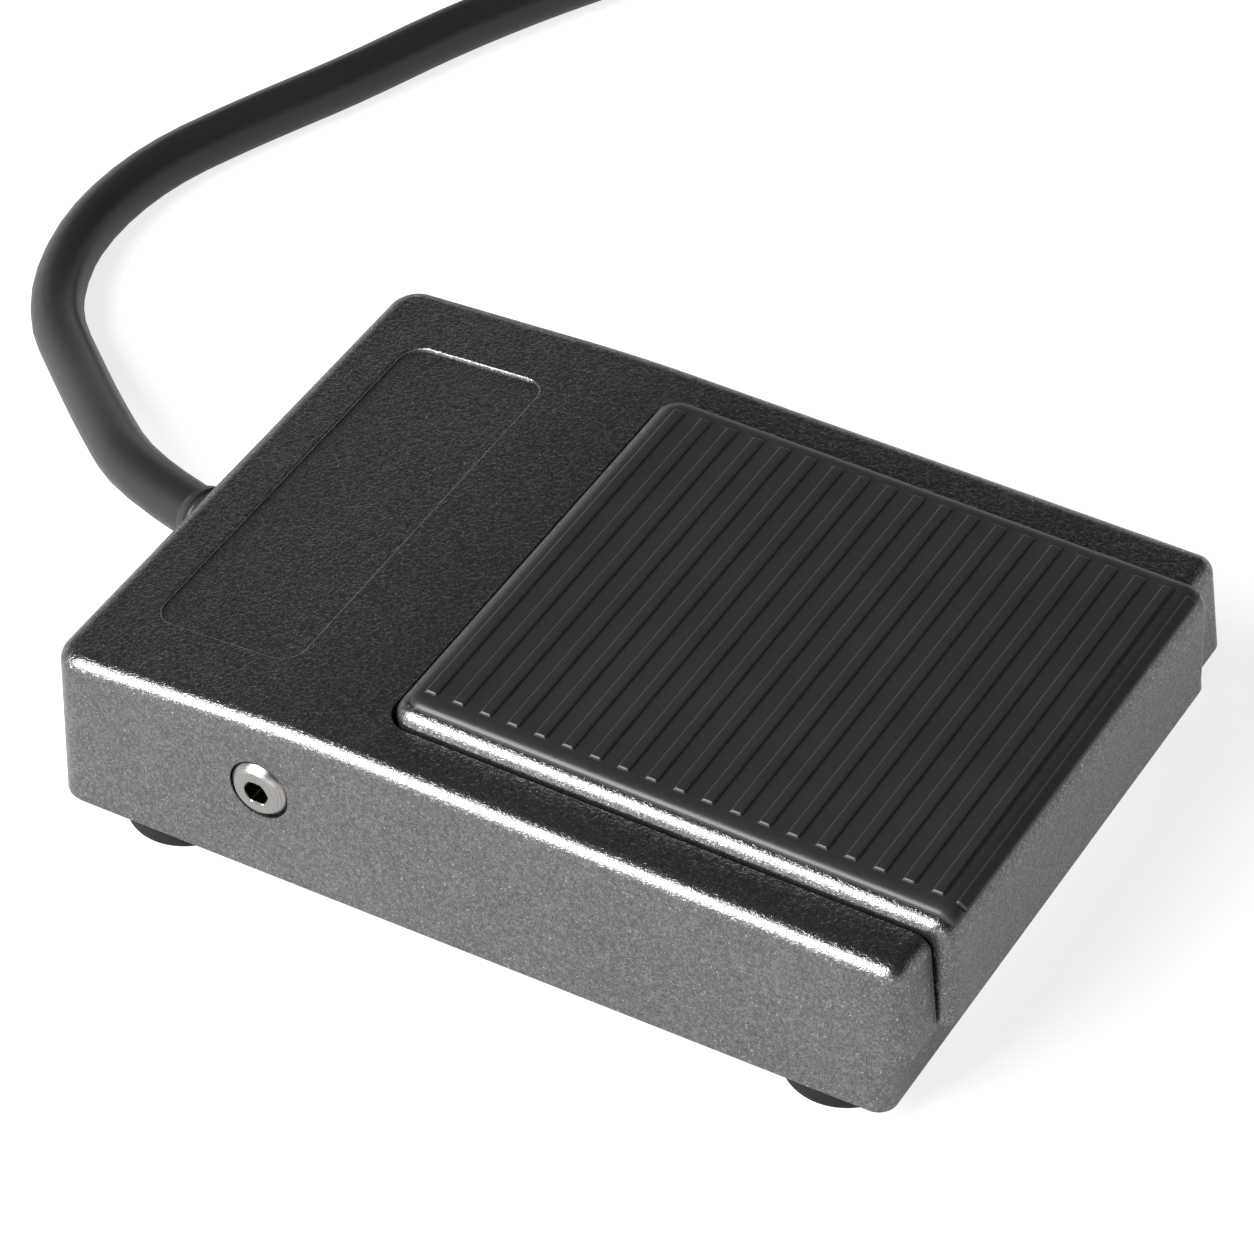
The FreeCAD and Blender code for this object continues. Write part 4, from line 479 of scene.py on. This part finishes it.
def addPiece(name, patches, material, body, standsFor=(), sharp=35, attributes=None):
    # patches are grids of points in metres, each with whether its rows and columns close
    points, faces, count = [], [], 0
    for grid, closeRows, closeColumns in patches:
        rows, columns = grid.shape[:2]
        faces.append(gridFaces(rows, columns, closeRows, closeColumns, count))
        points.append(grid.reshape(-1, 3))
        count += rows * columns
    mesh = bpy.data.meshes.new(name)
    mesh.from_pydata(np.concatenate(points).tolist(), [], np.concatenate(faces).tolist())
    for label, values in (attributes or {}).items():
        layer = mesh.attributes.new(label, "FLOAT_VECTOR", "POINT")
        layer.data.foreach_set("vector", np.concatenate([v.reshape(-1, 3) for v in values]).ravel())
    shape = bmesh.new()
    shape.from_mesh(mesh)
    bmesh.ops.remove_doubles(shape, verts=shape.verts, dist=mergeWithin)
    bmesh.ops.dissolve_degenerate(shape, edges=shape.edges, dist=degenerateBelow)
    bmesh.ops.recalc_face_normals(shape, faces=shape.faces)
    shape.to_mesh(mesh)
    shape.free()
    mesh.shade_smooth()
    mesh.set_sharp_from_angle(angle=math.radians(sharp))
    mesh.materials.append(material)
    piece = bpy.data.objects.new(name, mesh)
    bpy.context.scene.collection.objects.link(piece)
    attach(piece, body)
    if standsFor:
        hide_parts(*standsFor)
    return piece


def ringsAlong(centres, aheads, radii, sides):
    # a ring of the given radius stands square to the way ahead at each centre:
    # point = centre + radius (cos a sideways + sin a upwards)
    aheads = aheads / np.linalg.norm(aheads, axis=1, keepdims=True)
    sideways = np.cross(aheads, [0, 0, 1])
    sideways /= np.linalg.norm(sideways, axis=1, keepdims=True)
    upwards = np.cross(sideways, aheads)
    angle = np.linspace(0, 2 * math.pi, sides, endpoint=False)
    radii = np.broadcast_to(np.asarray(radii, float).reshape(len(centres), -1), (len(centres), sides))
    angle = angle[None, :, None]
    around = sideways[:, None] * np.cos(angle) + upwards[:, None] * np.sin(angle)
    return centres[:, None] + around * radii[:, :, None]


def turned(start, ahead, stations, radii, sides):
    # a body of revolution: distances along a straight axis and the radius at each
    stations = np.asarray(stations, float)
    centres = np.asarray(start, float) + stations[:, None] * np.asarray(ahead, float)
    return ringsAlong(centres, np.broadcast_to(np.asarray(ahead, float), centres.shape), radii, sides) * mm


# cable, coil and tail

cable = {
    "diameter": 9.8,
    "route": [
        (1.2, 88.3, 17.0),
        (6.6, 105.6, 15.2),
        (18.6, 121.0, 11.8),
        (32.0, 136.4, 8.0),
        (46.5, 153.2, 5.4),
        (67.5, 162.2, 4.95),
        (90.5, 161.8, 4.95),
        (111.0, 153.4, 4.95),
        (131.5, 143.0, 5.1),
        (153.5, 134.0, 5.4),
        (177.0, 121.5, 5.6),
        (199.0, 106.5, 5.8),
        (219.5, 95.0, 5.8),
    ],
    "coilAcross": 108.0,
    "layerTurns": 2.25,
    "climbTurns": 0.5,
    "coilStep": 10.5,
    "pointsPerTurn": 24,
    "tailRuns": [(22.0, 0.0, 0.4), (22.0, 16.2, 3.6), (20.0, 14.0, 0.6)],
}


def coilPoints(entry, heading):
    # radius falls by a step each turn in the lower layer, dips and rises back in the climb,
    # and grows by a step each turn in the upper one, which lies a step higher
    layer, climb, step = cable["layerTurns"], cable["climbTurns"], cable["coilStep"]
    turns = 2 * layer + climb
    outer = cable["coilAcross"] / 2 + step * (layer + climb / 4) / 2
    lean = math.atan(step / (2 * math.pi * outer))
    startAngle = math.atan2(heading[1], heading[0]) - lean - math.pi / 2
    centre = entry - outer * np.array([math.cos(startAngle), math.sin(startAngle), 0])
    t = np.linspace(0, turns, int(turns * cable["pointsPerTurn"]) + 1)
    share = np.clip((t - layer) / climb, 0, 1)
    inward = outer - step * t
    level = outer - step * layer - step * climb * (share - share**2)
    outward = outer - step * (turns - t)
    radius = np.where(t <= layer, inward, np.where(t <= layer + climb, level, outward))
    angle = startAngle + 2 * math.pi * t
    rise = step * share**2 * (3 - 2 * share)
    points = centre + np.stack([radius * np.cos(angle), radius * np.sin(angle), rise], 1)
    # the way out is a step outwards for each turn along the circle
    cosEnd, sinEnd = math.cos(angle[-1]), math.sin(angle[-1])
    leaving = step * np.array([cosEnd, sinEnd, 0]) + 2 * math.pi * outer * np.array([-sinEnd, cosEnd, 0])
    return points, leaving / np.linalg.norm(leaving), centre, outer, startAngle


route = np.array(cable["route"])
heading = (route[-1] - route[-2]) / np.linalg.norm(route[-1] - route[-2])
coilEntry = route[-1] + heading * cable["diameter"]
turns, leaving, coilCentre, coilOuter, coilStart = coilPoints(coilEntry, heading)
tail = [turns[-1] + leaving * cable["diameter"]]
bearing = math.atan2(leaving[1], leaving[0])
for runLength, turnRight, fall in cable["tailRuns"]:
    bearing -= math.radians(turnRight)
    flat = math.sqrt(runLength**2 - fall**2)
    tail.append(tail[-1] + np.array([flat * math.cos(bearing), flat * math.sin(bearing), -fall]))
plugHeading = np.array([math.cos(bearing), math.sin(bearing), 0.0])
plugMiddle = tuple(tail[-1] * mm)
plugNickel = newMaterial(
    "plugNickel",
    turnedRings,
    nickelFinish,
    metallic=1.0,
    bump=0.15,
    depth=0.01,
    vector=centredOn(*plugMiddle, turn=(0, 0, bearing)),
)

cordPoints = np.concatenate([route, turns, np.array(tail)]) * mm
curve = bpy.data.curves.new("cable", "CURVE")
curve.dimensions = "3D"
spline = curve.splines.new("NURBS")
spline.points.add(len(cordPoints) - 1)
spline.points.foreach_set("co", np.column_stack([cordPoints, np.ones(len(cordPoints))]).ravel())
spline.order_u = 3
spline.use_endpoint_u = True
spline.resolution_u = 4
curve.bevel_depth = cable["diameter"] / 2 * mm
curve.bevel_resolution = 6
curve.use_fill_caps = True
curve.materials.append(sheath)
cord = bpy.data.objects.new("cable", curve)
bpy.context.scene.collection.objects.link(cord)
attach(cord, "housing")
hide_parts("cable_lead", "cable_coil", "cable_tail")
print("cable laid")


# strain relief, tie and plug

grommet = {
    "flangeRadius": 9.6,
    "flangeY": (73.81, 75.81),
    "barrelRadius": 7.4,
    "barrelEndY": 81.5,
    "boreRadius": 5.0,
    "boreEndY": 81.0,
    "neckRadius": 6.5,
    "tipRadius": 5.6,
    "ribs": 3,
    "ribPitch": 1.9,
    "grooveDepth": 0.5,
    "edge": 0.3,
}
strap = {"width": 14.0, "thickness": 0.8, "gap": 0.1, "corner": 5.2, "overlap": 16.0, "edge": 0.2}
plug = {
    "bootLength": 24.0,
    "bootRadii": (6.0, 9.0),
    "bootRibs": 6,
    "bootPitch": 2.8,
    "grooveDepth": 0.9,
    "shellRadius": 9.5,
    "shellLength": 32.0,
    "mouthRadius": 8.4,
    "mouthDepth": 14.0,
    "gripStart": 3.0,
    "gripRings": 5,
    "gripPitch": 2.2,
    "ringRadius": 11.5,
    "ringBore": 9.6,
    "teeth": 48,
    "toothDepth": 0.35,
    "toothed": (2.0, 12.0),  # from and to along the ring
    "toothFade": 0.4,
    "edge": 0.4,
}


def grooves(start, pitch, count, depth):
    # each groove falls and rises over a share of its pitch: pairs of distance and depth
    shape = np.array([(0.0, 0.0), (0.1, 0.7), (0.2, 1.0), (0.4, 1.0), (0.5, 0.7), (0.6, 0.0)])
    along = start + pitch * (np.arange(count)[:, None] + shape[:, 0])
    return along.ravel(), np.tile(shape[:, 1] * depth, count)


def buildGrommet():
    # straight through the wall, then bent towards the cable: sideways move = reach x share^1.2
    tip, out = route[0], route[1] - route[0]
    endY = grommet["barrelEndY"]
    edge = grommet["edge"]
    inY, outY = grommet["flangeY"]
    flange, barrel, bore = grommet["flangeRadius"], grommet["barrelRadius"], grommet["boreRadius"]
    neck, end, boreEnd = grommet["neckRadius"], grommet["tipRadius"], grommet["boreEndY"]
    grooveY, cut = grooves(endY + 0.4, grommet["ribPitch"], grommet["ribs"], grommet["grooveDepth"])
    taper = np.interp(grooveY, [endY, tip[1]], [neck, end])
    ys = np.concatenate([
        [boreEnd, boreEnd, inY, inY, inY + edge, outY - edge, outY, outY, endY - edge, endY],
        grooveY,
        [tip[1] - edge, tip[1], tip[1]],
    ])
    radii = np.concatenate([
        [0.0, bore, bore, flange - edge, flange, flange, flange - edge, barrel, barrel, neck],
        taper - cut,
        [end, end - edge, 0.0],
    ])
    share = np.clip((ys - endY) / (tip[1] - endY), 0, 1)
    centres = np.stack([tip[0] * share**1.2, ys, np.full(len(ys), tip[2])], 1)
    aheads = np.array([0, 1, 0]) + share[:, None] * (out / np.linalg.norm(out) - np.array([0, 1, 0]))
    rings = ringsAlong(centres, aheads, radii, 48) * mm
    patches = [(rings, False, True)]
    addPiece("grommet_ribbed", patches, rubber, "housing", standsFor=["cable_grommet"])


def buildTie():
    # a strap round the bundle: an outline with round corners that ends on top of its own start
    step, radius = cable["coilStep"], cable["diameter"] / 2
    inside = coilOuter - step * (cable["layerTurns"] + cable["climbTurns"] / 4) - radius
    high = (step + 2 * radius) / 2 + strap["gap"]
    wide = (coilOuter + radius - inside) / 2 + strap["gap"]
    middle = (coilOuter + radius + inside) / 2
    corner = strap["corner"]
    arc = np.linspace(0, math.pi / 2, 9)
    quarters = [((1, 1), math.pi / 2), ((1, -1), 0.0), ((-1, -1), -math.pi / 2), ((-1, 1), -math.pi)]
    tailEnd = strap["overlap"] / 2
    outU = [np.linspace(0, tailEnd, 9)]
    outV = [np.full(9, high)]
    lean = [np.full(9, math.pi / 2)]
    for (signU, signV), startAngle in quarters:
        angle = startAngle - arc
        outU.append(signU * (wide - corner) + corner * np.cos(angle))
        outV.append(signV * (high - corner) + corner * np.sin(angle))
        lean.append(angle)
    outU.append(np.linspace(-tailEnd, tailEnd, 25))
    outV.append(np.full(25, high))
    lean.append(np.full(25, math.pi / 2))
    u, v, lean = (np.concatenate(part) for part in (outU, outV, lean))
    length = np.concatenate([[0], np.cumsum(np.hypot(np.diff(u), np.diff(v)))])
    above = np.clip((length - (length[-1] - strap["overlap"] - 4)) / 6, 0, 1)
    lift = (strap["thickness"] + 0.05) * above**2 * (3 - 2 * above)
    half, thick, edge = strap["width"] / 2, strap["thickness"], strap["edge"]
    flat = half - edge
    sectionW = np.array([-flat, -half, -half, -flat, 0, flat, half, half, flat, 0])
    sectionT = np.array([0, edge, thick - edge, thick, thick, thick, thick - edge, edge, 0, 0])
    out = lift[:, None] + sectionT
    bundleU = middle + u[:, None] + out * np.cos(lean)[:, None]
    bundleV = coilCentre[2] + step / 2 + v[:, None] + out * np.sin(lean)[:, None]
    angle = coilStart + math.pi / 2
    radial = np.array([math.cos(angle), math.sin(angle), 0])
    along = np.array([-math.sin(angle), math.cos(angle), 0])
    points = (
        np.array([coilCentre[0], coilCentre[1], 0])
        + bundleU[..., None] * radial
        + np.broadcast_to(sectionW, bundleU.shape)[..., None] * along
        + bundleV[..., None] * np.array([0, 0, 1])
    )
    ends = points[[0, -1]].mean(1, keepdims=True).repeat(len(sectionW), 1)
    grid = np.concatenate([ends[:1], points, ends[1:]]) * mm
    threads = np.stack(np.broadcast_arrays(length[:, None], sectionW[None, :], 0.0), -1)
    threads = np.concatenate([threads[:1], threads, threads[-1:]])
    addPiece(
        "tie_strap",
        [(grid, False, True)],
        webbing,
        "housing",
        standsFor=["coil_tie"],
        attributes={"threads": [threads]},
    )


def buildPlug():
    start = tail[-1]
    low, high = plug["bootRadii"]
    length, edge = plug["bootLength"], plug["edge"]
    grooveAt, cut = grooves(2.0, plug["bootPitch"], plug["bootRibs"], plug["grooveDepth"])
    taper = np.interp(grooveAt, [0, length], [low, high])
    stations = np.concatenate([[0, 0, edge], grooveAt, [length - 3, length - edge, length, length]])
    radii = np.concatenate([[0, low - edge, low], taper - cut, [high, high, high - edge, 0]])
    boot = turned(start, plugHeading, stations, radii, 48)
    addPiece("boot_ribbed", [(boot, False, True)], rubber, "housing", standsFor=["plug_boot"])

    shellStart = start + plugHeading * length
    radius, mouth = plug["shellRadius"], plug["mouthRadius"]
    length, depth = plug["shellLength"], plug["mouthDepth"]
    gripAt, cut = grooves(plug["gripStart"], plug["gripPitch"], plug["gripRings"], plug["edge"])
    floor = length - depth
    stations = np.concatenate([[0, 0, edge], gripAt, [length - edge, length, length, floor, floor]])
    brim = [radius, radius - edge, mouth, mouth, 0]
    radii = np.concatenate([[0, radius - edge, radius], radius - cut, brim])
    patches = [(turned(shellStart, plugHeading, stations, radii, 64), False, True)]
    addPiece("shell_turned", patches, plugNickel, "housing", standsFor=["plug_shell"])

    # the ring's outside is toothed: radius = rim less a share of the tooth depth that swings round it
    sides = plug["teeth"] * 4
    swing = np.tile([0.0, 0.0, 1.0, 1.0], plug["teeth"]) * plug["toothDepth"]
    rim = plug["ringRadius"]
    bore, fade = plug["ringBore"], plug["toothFade"]
    low, high = plug["toothed"]
    stations = np.array([0, 0, edge, low - fade, low, high, high + fade, depth - edge, depth, depth, 0])
    plain = np.array([bore, rim - edge, *[rim] * 6, rim - edge, bore, bore])
    toothed = np.array([0, 0, 0, 0, 1, 1, 0, 0, 0, 0, 0])
    radii = plain[:, None] - toothed[:, None] * swing
    patches = [(turned(shellStart + plugHeading * floor, plugHeading, stations, radii, sides), False, True)]
    addPiece("ring_knurled", patches, plugNickel, "housing", standsFor=["plug_coupling_ring"])


buildGrommet()
buildTie()
buildPlug()
print("strain relief, tie and plug modelled")


# pivot screws

pivotScrew = {
    "headRadius": 5.25,
    "headHeight": 3.0,
    "chamfer": 1.2,
    "shankRadius": 3.0,
    "shankLength": 16.0,
    "keyCorner": 2.31,
    "keyDepth": 3.2,
    "edge": 0.12,
}


def buildPivotScrew(name, side):
    # a turned head with a hexagon socket: radius = apothem / cos(angle from the middle of a flat)
    sides = 96
    angle = np.linspace(0, 2 * math.pi, sides, endpoint=False)
    apothem = pivotScrew["keyCorner"] * math.cos(math.pi / 6)
    hexagon = apothem / np.cos(np.mod(angle, math.pi / 3) - math.pi / 6)
    head, height, bevel = pivotScrew["headRadius"], pivotScrew["headHeight"], pivotScrew["chamfer"]
    shank, edge = pivotScrew["shankRadius"], pivotScrew["edge"]
    rows = [
        (-pivotScrew["shankLength"], 0.0),
        (-pivotScrew["shankLength"], shank),
        (0.0, shank),
        (0.0, head),
        (height - bevel - edge, head),
        (height - bevel + edge * 0.7, head - edge * 0.7),
        (height - edge * 0.7, head - bevel + edge * 0.7),
        (height, head - bevel - edge),
    ]
    radii = np.array([np.full(sides, radius) for _, radius in rows])
    radii = np.concatenate([radii, [hexagon + edge], [hexagon], [hexagon], [np.zeros(sides)]])
    floor = height - pivotScrew["keyDepth"]
    stations = np.array([station for station, _ in rows] + [height, height - edge, floor, floor])
    reach = max(abs(corner[0]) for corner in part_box(name)) / mm
    start = np.array([side * (reach - height), *(np.array(pivotAxis[1:]) / mm)])
    patches = [(turned(start, (side, 0, 0), stations, radii, sides), False, True)]
    addPiece(f"{name}_head", patches, nickel, "housing", standsFor=[name], sharp=25)


buildPivotScrew("left_pivot_screw", -1)
buildPivotScrew("right_pivot_screw", 1)
print("pivot screws turned")


# return spring

returnSpring = {
    "radius": 5.3,
    "wire": 0.7,
    "turns": 8.0,
    "pointsPerTurn": 24,
    "sides": 10,
    "pedalDrop": 5.5,
}


def buildSpring():
    # a wire round a circle that rises steadily: centre = radius (cos a, sin a), height = share of the turns
    low, high = (np.array(corner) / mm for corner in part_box("return_spring"))
    wire, radius = returnSpring["wire"], returnSpring["radius"]
    sides = returnSpring["sides"]
    share = np.linspace(0, 1, int(returnSpring["turns"] * returnSpring["pointsPerTurn"]) + 1)
    angle = 2 * math.pi * returnSpring["turns"] * share
    middle = (low[:2] + high[:2]) / 2
    rise = low[2] + wire + (high[2] - low[2] - 2 * wire) * share
    centres = np.stack([middle[0] + radius * np.cos(angle), middle[1] + radius * np.sin(angle), rise], 1)
    aheads = np.gradient(centres, axis=0)
    rings = ringsAlong(centres, aheads, np.full(len(centres), wire), sides)
    ends = centres[[0, -1], None].repeat(sides, 1)
    grid = np.concatenate([ends[:1], rings, ends[1:]]) * mm
    patches = [(grid, False, True)]
    piece = addPiece("spring_wound", patches, steel, "housing", standsFor=["return_spring"])
    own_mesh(piece)


buildSpring()
print("return spring wound")


# tread mat

mat = {
    "pivot": (38.93, 21.7),
    "slope": 1.47,
    "rear": -20.14,
    "top": 18.9,
    "halfWidth": 42.2,
    "thickness": 1.3,
    "noseAxis": -115.04,
    "noseRadius": 5.3,
    "noseTurn": 50.0,
    "rearCorner": 3.4,
    "frontCorner": 1.7,
    "edgeWidth": 2.3,
    "edgeDrop": 1.2,
    "ribs": 19,
    "firstRib": 3.46,  # from the rear edge to the first rib's middle
    "ribPitch": 5.0,
    "ribWidth": 2.1,
    "ribHeight": 0.5,
    "ribHalfLength": 39.1,
    "noseRibTurn": 30.0,
    # pairs of distance into the rib and share of its height
    "rearShoulder": [(-0.02, 0.0), (0.05, 0.45), (0.14, 0.72), (0.38, 0.98), (0.5, 1.0)],
    "frontShoulder": [(-0.02, 0.0), (0.06, 0.52), (0.14, 0.86), (0.24, 0.97), (0.4, 1.0)],
    # pairs of distance in from the rib's end and share of its height
    "ribEnd": [
        (-0.1, 0.0),
        (0.0, 0.0),
        (0.08, 0.45),
        (0.2, 0.85),
        (0.35, 0.98),
        (0.6, 1.0),
        (8.0, 1.0),
        (22.0, 1.0),
    ],
    "panelRear": 2.3,
    "panelFront": 0.72,
    "bendLines": (-0.6, 0.05, 0.7, 1.3),  # extra lines across the mat where its nose begins
}
matFlat = mat["rear"] - mat["noseAxis"]
matLength = matFlat + mat["noseRadius"] * math.radians(mat["noseTurn"])


def onPedal(across, along, lift):
    # along the flat top, then round the nose; the whole turned by the pedal's slope about its pivot
    bend = np.clip((along - matFlat) / mat["noseRadius"], 0, None)
    flat = np.minimum(along, matFlat)
    radius = mat["noseRadius"] + lift
    y = mat["rear"] - flat - radius * np.sin(bend)
    z = mat["top"] - mat["noseRadius"] + radius * np.cos(bend)
    slope = math.radians(mat["slope"])
    pivotY, pivotZ = mat["pivot"]
    turnedY = pivotY + y * math.cos(slope) - z * math.sin(slope)
    turnedZ = pivotZ + y * math.sin(slope) + z * math.cos(slope)
    return np.stack(np.broadcast_arrays(across, turnedY, turnedZ), -1) * mm


def matEdgeDrop(across, along):
    # near the outline, a rectangle with round corners, the top falls by a quarter of an ellipse
    corner = np.where(along < matLength / 2, mat["rearCorner"], mat["frontCorner"])
    overX = np.abs(across) - (mat["halfWidth"] - corner)
    overY = np.abs(along - matLength / 2) - (matLength / 2 - corner)
    inside = corner - np.hypot(np.clip(overX, 0, None), np.clip(overY, 0, None))
    inside = inside - np.minimum(np.maximum(overX, overY), 0)
    reach = np.clip(1 - inside / mat["edgeWidth"], 0, 1)
    return mat["edgeDrop"] * (1 - np.sqrt(1 - reach**2))


def buildMat():
    # ribs are bumps along the mat with a soft rear shoulder and a crisp front one,
    # faded out over a short bevel at their ends
    half = mat["ribWidth"] / 2
    rearSteps, rearRises = np.array(mat["rearShoulder"]).T
    frontSteps, frontRises = np.array(mat["frontShoulder"]).T
    profile = np.concatenate([-half + rearSteps, (half - frontSteps)[::-1]])
    heights = np.concatenate([rearRises, frontRises[::-1]]) * mat["ribHeight"]
    middles = np.append(
        mat["firstRib"] + mat["ribPitch"] * np.arange(mat["ribs"]),
        matFlat + mat["noseRadius"] * math.radians(mat["noseRibTurn"]),
    )
    along = (middles[:, None] + profile).ravel()
    rise = np.tile(heights, len(middles))
    gaps = (middles[:-1] + middles[1:]) / 2
    low, high = mat["panelRear"], matLength - mat["panelFront"]
    extra = np.concatenate([[low], gaps, matFlat + np.array(mat["bendLines"]), [high]])
    along, rise = np.concatenate([along, extra]), np.concatenate([rise, np.zeros(len(extra))])
    order = np.argsort(along)
    along, rise = along[order], rise[order]
    endSteps, fade = np.array(mat["ribEnd"]).T
    ends = mat["ribHalfLength"] - endSteps
    across = np.concatenate([-ends, [0.0], ends[::-1]])
    fade = np.concatenate([fade, [1.0], fade[::-1]])
    inner = onPedal(across[None, :], along[:, None], rise[:, None] * fade[None, :])

    # the border joins the panel's outline to the mat's rounded one
    limit = ends[0]
    corners = []
    for signX, signY, startAngle in ((1, -1, -90), (1, 1, 0), (-1, 1, 90), (-1, -1, 180)):
        radius = mat["rearCorner"] if signY < 0 else mat["frontCorner"]
        middleX = signX * (mat["halfWidth"] - radius)
        middleY = matLength / 2 + signY * (matLength / 2 - radius)
        sweep = np.radians(startAngle + np.linspace(0, 90, 9))
        corners.append((middleX + radius * np.cos(sweep), middleY + radius * np.sin(sweep)))
    rear = (across, np.full(len(across), 0.0), across, np.full(len(across), low))
    right = (np.full(len(along), mat["halfWidth"]), along, np.full(len(along), limit), along)
    front = (across[::-1], np.full(len(across), matLength), across[::-1], np.full(len(across), high))
    left = (np.full(len(along), -mat["halfWidth"]), along[::-1], np.full(len(along), -limit), along[::-1])
    outerX, outerY, innerX, innerY = [], [], [], []
    turnsAt = [(limit, low), (limit, high), (-limit, high), (-limit, low)]
    for side, (arcX, arcY), (cornerX, cornerY) in zip((rear, right, front, left), corners, turnsAt):
        for store, values in zip((outerX, outerY, innerX, innerY), side):
            store.append(values)
        outerX.append(arcX)
        outerY.append(arcY)
        innerX.append(np.full(len(arcX), cornerX))
        innerY.append(np.full(len(arcX), cornerY))
    outerX, outerY, innerX, innerY = (np.concatenate(v) for v in (outerX, outerY, innerX, innerY))
    shares = np.array([1.0, 0.85, 0.7, 0.55, 0.4, 0.28, 0.17, 0.08, 0.02, 0.0])[:, None]
    borderX = outerX + (innerX - outerX) * shares
    borderY = outerY + (innerY - outerY) * shares
    border = onPedal(borderX, borderY, -matEdgeDrop(borderX, borderY))
    under = onPedal(borderX[[-1, 0]], borderY[[-1, 0]], np.full((2, 1), -mat["thickness"]))
    below = onPedal(across[None, :], along[:, None], np.full((1, 1), -mat["thickness"]))
    wall = np.concatenate([border[-1:], under[:1]])
    bands = [(band, False, True) for band in (border, wall, under)]
    addPiece(
        "tread_mat_ribbed",
        [(inner, False, False), *bands, (below, False, False)],
        rubber,
        "pedal",
        standsFor=["tread_mat"],
        sharp=50,
    )


buildMat()
print("mat ribbed")


# camera, floor and lights

cameraView = {
    "place": (-0.53966, -0.34728, 0.60470),
    "azimuth": -57.0337,
    "elevation": 41.8771,
    "roll": -3.6162,
    "lens": 153.084,
}
studio = {
    "zenith": 0.02,
    "horizon": 0.95,
    "haze": 0.5,
    "ground": 0.85,
    "floorGlow": 0.8,
    "floorMirrorGlow": 0.42,
    "floorColor": 0.4,
    "floorHalf": 4.0,
    "skyStops": ((0.48, "ground"), (0.56, "horizon"), (0.64, "haze"), (0.74, "zenith")),
}
softBoxes = {
    "edgeLight": {
        "direction": (-0.67, 0.41, 0.62),
        "distance": 1.2,
        "size": (0.85, 0.95),
        "radiance": 11.5,
    },
    "sideFill": {
        "direction": (-0.9, -0.35, 0.3),
        "distance": 1.5,
        "size": (0.9, 0.6),
        "radiance": 1.1,
    },
}


def softBox(name, direction, distance, size, radiance):
    # a rectangle of even brightness that faces the object; its power is brightness x pi x area
    data = bpy.data.lights.new(name, "AREA")
    data.shape = "RECTANGLE"
    data.size, data.size_y = size
    data.energy = radiance * math.pi * size[0] * size[1]
    box = bpy.data.objects.new(name, data)
    bpy.context.scene.collection.objects.link(box)
    away = np.array(direction) / np.linalg.norm(direction)
    box.location = away * distance
    box.rotation_euler = box.location.to_track_quat("Z", "Y").to_euler()


def buildStudio():
    world = bpy.data.worlds.new("studio")
    bpy.context.scene.world = world
    world.use_nodes = True
    tree = world.node_tree
    sky = tree.nodes.new("ShaderNodeTexCoord").outputs["Generated"]
    way = addNode(tree, "ShaderNodeSeparateXYZ", {0: sky})
    height = mathNode(tree, "MULTIPLY_ADD", way.outputs[2], 0.5, 0.5)
    ramp = addNode(tree, "ShaderNodeValToRGB", {0: height})
    stops = ramp.color_ramp.elements
    for number, (position, level) in enumerate(studio["skyStops"]):
        stop = stops[number] if number < 2 else stops.new(position)
        stop.position = position
        stop.color = (studio[level],) * 3 + (1,)
    tree.links.new(ramp.outputs[0], tree.nodes["Background"].inputs[0])

    mesh = bpy.data.meshes.new("floor")
    half = studio["floorHalf"]
    corners = [(-half, -half, 0), (half, -half, 0), (half, half, 0), (-half, half, 0)]
    mesh.from_pydata(corners, [], [(0, 1, 2, 3)])
    floor = bpy.data.objects.new("floor", mesh)
    bpy.context.scene.collection.objects.link(floor)
    material = bpy.data.materials.new("floorPaper")
    material.use_nodes = True
    tree = material.node_tree
    shader = tree.nodes["Principled BSDF"]
    shader.inputs["Base Color"].default_value = (studio["floorColor"],) * 3 + (1,)
    shader.inputs["Roughness"].default_value = 0.9
    shader.inputs["Specular IOR Level"].default_value = 0.1
    paths = tree.nodes.new("ShaderNodeLightPath")
    seen = mathNode(tree, "MAXIMUM", paths.outputs["Is Camera Ray"], paths.outputs["Is Transmission Ray"])
    direct = mathNode(tree, "MULTIPLY", seen, studio["floorGlow"])
    mirrored = mathNode(tree, "MULTIPLY", paths.outputs["Is Glossy Ray"], studio["floorMirrorGlow"])
    shader.inputs["Emission Color"].default_value = (1, 1, 1, 1)
    tree.links.new(mathNode(tree, "ADD", direct, mirrored), shader.inputs["Emission Strength"])
    mesh.materials.append(material)

    for name, values in softBoxes.items():
        softBox(name, **values)


buildStudio()
camera = bpy.data.objects.new("camera", bpy.data.cameras.new("camera"))
bpy.context.scene.collection.objects.link(camera)
camera.data.lens = cameraView["lens"]
camera.data.sensor_width = 36
camera.data.clip_start = 0.01
camera.matrix_world = (
    Matrix.Translation(cameraView["place"])
    @ Matrix.Rotation(math.radians(cameraView["azimuth"]), 4, "Z")
    @ Matrix.Rotation(math.radians(90 - cameraView["elevation"]), 4, "X")
    @ Matrix.Rotation(math.radians(cameraView["roll"]), 4, "Z")
)
bpy.context.scene.camera = camera
bpy.context.scene.view_settings.view_transform = "Standard"

bpy.context.view_layer.update()
